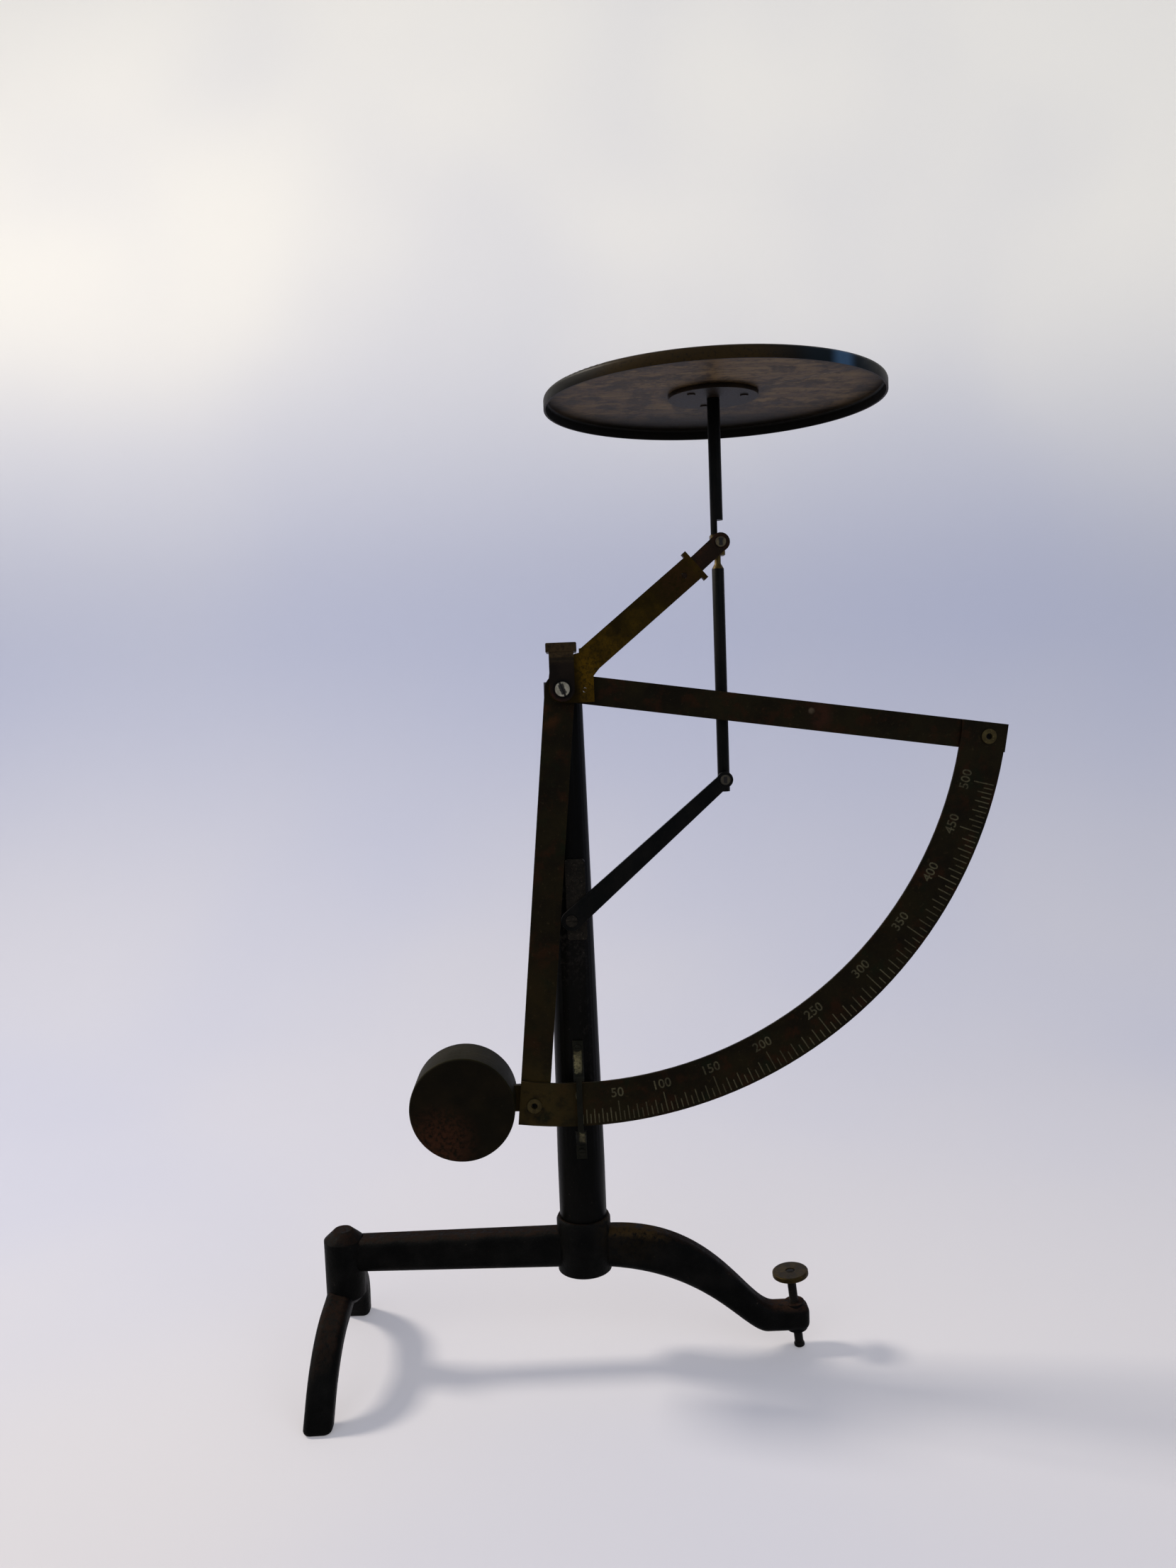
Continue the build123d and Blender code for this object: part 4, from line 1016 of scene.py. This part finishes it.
class Field(Nodes):
    """Builds one geometry tree with named inputs."""

    def __init__(self, name, inputs):
        super().__init__(bpy.data.node_groups.new(name, "GeometryNodeTree"))
        shape = "NodeSocketGeometry"
        interface = self.tree.interface
        interface.new_socket(name="Geometry", in_out="OUTPUT", socket_type=shape)
        self.inputs = {}
        for title, kind in (("Geometry", shape), *inputs):
            self.inputs[title] = interface.new_socket(name=title, in_out="INPUT", socket_type=kind)
        self.start = self.tree.nodes.new("NodeGroupInput")

    def given(self, name):
        """What a named input gives."""
        return Wire(self, self.start.outputs[name])

    def close(self, geometry, material):
        """Realizes the instances, sets the finish and ends the tree."""
        real = self.node("GeometryNodeRealizeInstances", {}, {"Geometry": geometry})
        painted = self.node("GeometryNodeSetMaterial", {}, {"Geometry": real, "Material": material})
        self.node("NodeGroupOutput", {}, {"Geometry": painted})


def grown(name, points, edges, field, values):
    """Runs a geometry tree on points and edges, and gives the result as a plain mesh."""
    places = bpy.data.meshes.new(name + "_places")
    places.from_pydata(points, edges, [])
    carrier = placed(name + "_places", places)
    modifier = carrier.modifiers.new(name, "NODES")
    modifier.node_group = field.tree
    for key, value in values.items():
        modifier[field.inputs[key].identifier] = value
    return plain_mesh(carrier, name)


def marks_tree():
    """Geometry tree that lays a bar along every edge: one edge is one mark's place and length."""
    size = "NodeSocketFloat"
    field = Field("dial_marks", (("Width", size), ("Relief", size), ("Finish", "NodeSocketMaterial")))
    curve = field.node("GeometryNodeMeshToCurve", {}, {"Mesh": field.given("Geometry")})
    profile = field.node(
        "GeometryNodeCurvePrimitiveQuadrilateral",
        {"mode": "RECTANGLE"},
        {"Width": field.given("Relief"), "Height": field.given("Width")},
    )
    upright = field.node(
        "GeometryNodeSetCurveNormal", {"mode": "FREE"}, {"Curve": curve, "Normal": (0.0, -1.0, 0.0)}
    )
    bars = field.node(
        "GeometryNodeCurveToMesh", {}, {"Curve": upright, "Profile Curve": profile, "Fill Caps": True}
    )
    field.close(bars, field.given("Finish"))
    return field


def knurl_tree():
    """Geometry tree that stands one small rounded ridge on every point, along the disc's axis."""
    size = "NodeSocketFloat"
    inputs = (
        ("Height", size),
        ("Radius", size),
        ("Axis", "NodeSocketVector"),
        ("Finish", "NodeSocketMaterial"),
    )
    field = Field("disc_knurls", inputs)
    radius, height = field.given("Radius"), field.given("Height")
    ridge = field.node(
        "GeometryNodeMeshCylinder",
        {},
        {"Vertices": 8, "Side Segments": 1, "Radius": radius, "Depth": height},
    )
    turn = field.node("FunctionNodeAlignRotationToVector", {"axis": "Z"}, {"Vector": field.given("Axis")})
    stood = field.node(
        "GeometryNodeInstanceOnPoints",
        {},
        {"Points": field.given("Geometry"), "Instance": ridge, "Rotation": turn},
    )
    field.close(stood, field.given("Finish"))
    return field


def knurl_ridges(disc, up, count, material):
    """Ridges round the disc's rim, in one mesh that turns with it."""
    rim_radius = 6.2 * MM
    values = {"Height": 1.4 * MM, "Radius": 0.2 * MM, "Axis": up, "Finish": material}
    points = [disc + off_axis(up, rim_radius, 2 * math.pi * k / count) for k in range(count)]
    mesh = grown("thumb_disc_knurls", points, [], knurl_tree(), values)
    for polygon in mesh.polygons:
        polygon.use_smooth = False
    return link(mesh, "thumb_disc_knurls", "thumb_disc")


def mark_angle(load):
    """Angle on the dial, from the pivot, of a load in numbered steps: it follows from the bent lever."""
    s = sizes()
    pull = s.lever_share * load
    turn = math.atan2(pull * math.cos(s.lever_angle), 1 - pull * math.sin(s.lever_angle))
    return turn - math.pi / 2


def dial_point(angle, reach):
    """Point on the quadrant's face."""
    return Vector((PIVOT_X + reach * math.cos(angle), DIAL_FACE, PIVOT_Z + reach * math.sin(angle)))


class SCALE_OT_marks(bpy.types.Operator):
    """Lay the dial's marks, spaced by the lever's law, with one geometry tree"""

    bl_idname = "letter_scale.marks"
    bl_label = "Dial marks"

    def execute(self, context):
        s = sizes()
        c = colours()
        edge = s.dial_reach - s.mark_inset
        points = []
        edges = []
        for i in range(s.divisions * s.parts_each + 1):
            angle = mark_angle(i / s.parts_each)
            if i % s.parts_each == 0:
                length = s.long_mark
            else:
                length = s.short_mark if i % 2 else s.middle_mark
            points += [dial_point(angle, edge), dial_point(angle, edge - length)]
            edges.append((2 * i, 2 * i + 1))
        filling = make_mark_paint("dial_mark_filling", (c.marks, (40, 35, 20)))
        values = {"Width": s.mark_width, "Relief": 2 * s.mark_height, "Finish": filling}
        mesh = grown("dial_marks", points, edges, marks_tree(), values)
        if not mesh.polygons:
            raise RuntimeError("the dial's marks came out empty")
        link(mesh, "dial_marks", "beam")
        return {"FINISHED"}


class SCALE_OT_numbers(bpy.types.Operator):
    """Put the plain numbers of the dial inside its marks"""

    bl_idname = "letter_scale.numbers"
    bl_label = "Dial numbers"

    def execute(self, context):
        s = sizes()
        c = colours()
        filling = make_mark_paint("dial_number_filling", (c.marks, (34, 30, 18)))
        # Text size over a number's height, how far its strokes swell, and the gap that is welded
        text_share, swell, weld = 1.38, 0.05 * MM, 0.0005 * MM
        form = bmesh.new()
        for step in range(s.divisions + 1):
            words = bpy.data.curves.new("number", "FONT")
            words.body = str(step * s.step_value)
            words.size = s.number_size * text_share
            words.align_x = "CENTER"
            words.align_y = "CENTER"
            words.extrude = s.mark_height
            words.offset = swell
            words.resolution_u = 3
            mesh = plain_mesh(placed("number", words), "number")
            angle = mark_angle(step)
            # Read upright at the pointer: the tops point at the pivot
            right = Vector((-math.sin(angle), 0, math.cos(angle)))
            top = Vector((-math.cos(angle), 0, -math.sin(angle)))
            turn = Matrix((right, top, right.cross(top))).transposed().to_4x4()
            turn.translation = dial_point(angle, s.number_reach)
            mesh.transform(turn)
            form.from_mesh(mesh)
            bpy.data.meshes.remove(mesh)
        bmesh.ops.remove_doubles(form, verts=form.verts, dist=weld)
        bmesh.ops.recalc_face_normals(form, faces=form.faces)
        mesh = as_mesh(form, "dial_numbers")
        mesh.materials.append(filling)
        link(mesh, "dial_numbers", "beam")
        return {"FINISHED"}


class SCALE_OT_stage(bpy.types.Operator):
    """Set the paper sweep, the soft lamps, the world and the camera"""

    bl_idname = "letter_scale.stage"
    bl_label = "Stage"

    def execute(self, context):
        scene = context.scene
        scene.view_settings.view_transform = "Standard"
        self.sweep()
        self.world(scene)
        self.lamp("key", (-1.0, 0.24, 1.0), 0.24, 6.0, (1.0, 0.93, 0.82), 100)
        self.lamp("fill", (0.75, -1.0, 0.8), 0.9, 3.5, (0.92, 0.95, 1.0))
        self.lamp("front", (-0.6, -1.05, 0.9), 0.9, 3.5, (1.0, 0.98, 0.94))
        self.camera(scene)
        return {"FINISHED"}

    def sweep(self):
        """Pale paper: a floor that curves up behind the object, with painted light and shade on it."""
        wide, near, far, bend, tall = 2.2, -1.6, 0.62, 0.35, 2.4
        steps = 16
        profile = [(near, 0.0)]
        for i in range(steps + 1):
            turn = math.pi / 2 * i / steps
            profile.append((far - bend + bend * math.sin(turn), bend * (1 - math.cos(turn))))
        profile.append((far, tall))
        form = bmesh.new()
        left = [form.verts.new((-wide, y, z)) for y, z in profile]
        right = [form.verts.new((wide, y, z)) for y, z in profile]
        for i in range(len(profile) - 1):
            face = form.faces.new((left[i], right[i], right[i + 1], left[i + 1]))
            face.smooth = True
        mesh = as_mesh(form, "paper_sweep")
        b = Bench("pale_paper")
        rise = b.axis(2)
        soft = b.noise(0.0025, 2, 0.45, shift=4)
        # Painted light and shade on the paper: cooler towards the back, a bluish shade at middle height, a
        # warm bright top and faint bluish blotches of shade
        colour = b.coats(
            (208, 203, 200),
            (b.axis(1).rise(-300, 300), (202, 200, 206)),
            (rise.rise(20, 320), (186, 188, 202)),
            (rise.rise(260, 640), (255, 249, 236)),
            (soft.rise(0.4, 0.7) * 0.25, (172, 178, 206)),
        )
        glow_share = 0.35
        diffuse = b.node("ShaderNodeBsdfDiffuse", {}, {"Color": colour})
        glow = b.node("ShaderNodeEmission", {}, {"Color": colour, "Strength": 1.0})
        path = "ShaderNodeLightPath"
        seen = b.node(path, {}, {}, "Is Camera Ray")
        glossy = b.node(path, {}, {}, "Is Glossy Ray")
        share = (seen + glossy).clamp() * glow_share
        shader = b.node("ShaderNodeMixShader", {}, {0: share, 1: diffuse, 2: glow})
        b.node("ShaderNodeOutputMaterial", {}, {"Surface": shader})
        mesh.materials.append(b.material)
        placed("paper_sweep", mesh)

    def world(self, scene):
        """Plain soft light from all round."""
        world = bpy.data.worlds.new("soft_room")
        scene.world = world
        world.use_nodes = True
        world.node_tree.nodes.clear()
        b = Nodes(world.node_tree)
        light = b.node("ShaderNodeBackground", {}, {"Color": (0.64, 0.74, 1.0, 1.0), "Strength": 0.56})
        b.node("ShaderNodeOutputWorld", {}, {"Surface": light})

    def lamp(self, name, place, size, power, colour, spread=180):
        """One large soft lamp that looks at the object."""
        data = bpy.data.lights.new(name, "AREA")
        data.shape = "SQUARE"
        data.size = size
        data.energy = power
        data.color = colour
        data.spread = math.radians(spread)
        lamp = placed(name, data)
        lamp.location = place
        aim_height = 0.17
        aim = Vector((0, 0, aim_height)) - Vector(place)
        lamp.rotation_euler = aim.to_track_quat("-Z", "Y").to_euler()

    def camera(self, scene):
        """The photograph's viewing angle, turned a little about the line of sight."""
        yaw, pitch, roll = math.radians(-0.75), math.radians(4.85), math.radians(2.16)
        # Focal length and width of the photograph, both in its own pixels
        focal, photo_width = 1661, 1659
        from_pivot = Vector((2.15, -395.7, 1.37)) * MM
        level = math.cos(pitch)
        ahead = Vector((-math.sin(yaw) * level, math.cos(yaw) * level, -math.sin(pitch)))
        right = Vector((math.cos(yaw), math.sin(yaw), 0))
        up = right.cross(ahead)
        side = right * math.cos(roll) - up * math.sin(roll)
        top = right * math.sin(roll) + up * math.cos(roll)
        data = bpy.data.cameras.new("photo_camera")
        data.sensor_fit = "HORIZONTAL"
        data.sensor_width = 36.0
        data.lens = data.sensor_width * focal / photo_width
        data.clip_start = 0.01
        camera = placed("photo_camera", data)
        turn = Matrix((side, top, -ahead)).transposed().to_4x4()
        turn.translation = Vector((PIVOT_X, BEAM_Y, PIVOT_Z)) + from_pivot
        camera.matrix_world = turn
        scene.camera = camera


class SCALE_PT_panel(bpy.types.Panel):
    """Lists the scale's pieces in the sidebar"""

    bl_idname = "SCALE_PT_panel"
    bl_label = "Letter scale"
    bl_space_type = "VIEW_3D"
    bl_region_type = "UI"
    bl_category = "Letter scale"

    def draw(self, context):
        for step in STEPS:
            self.layout.operator(step.bl_idname)
        for group in (sizes(), colours()):
            column = self.layout.column()
            for key in group.bl_rna.properties.keys():
                if key not in ("rna_type", "name"):
                    column.prop(group, key)


STEPS = (
    SCALE_OT_stage,
    SCALE_OT_castings,
    SCALE_OT_column,
    SCALE_OT_pointer,
    SCALE_OT_beam,
    SCALE_OT_weight,
    SCALE_OT_pan,
    SCALE_OT_rods,
    SCALE_OT_levelling,
    SCALE_OT_marks,
    SCALE_OT_numbers,
)
CLASSES = (ScaleSizes, ScaleColours) + STEPS + (SCALE_PT_panel,)


def register():
    """Registers the classes and their settings."""
    for item in CLASSES:
        bpy.utils.register_class(item)
    bpy.types.Scene.letter_scale_sizes = PointerProperty(type=ScaleSizes)
    bpy.types.Scene.letter_scale_colours = PointerProperty(type=ScaleColours)


def unregister():
    """Removes the settings and the classes."""
    del bpy.types.Scene.letter_scale_colours
    del bpy.types.Scene.letter_scale_sizes
    for item in reversed(CLASSES):
        bpy.utils.unregister_class(item)


def main():
    """Builds every piece."""
    register()
    for step in STEPS:
        area, name = step.bl_idname.split(".")
        getattr(getattr(bpy.ops, area), name)()


if __name__ == "__main__":
    main()
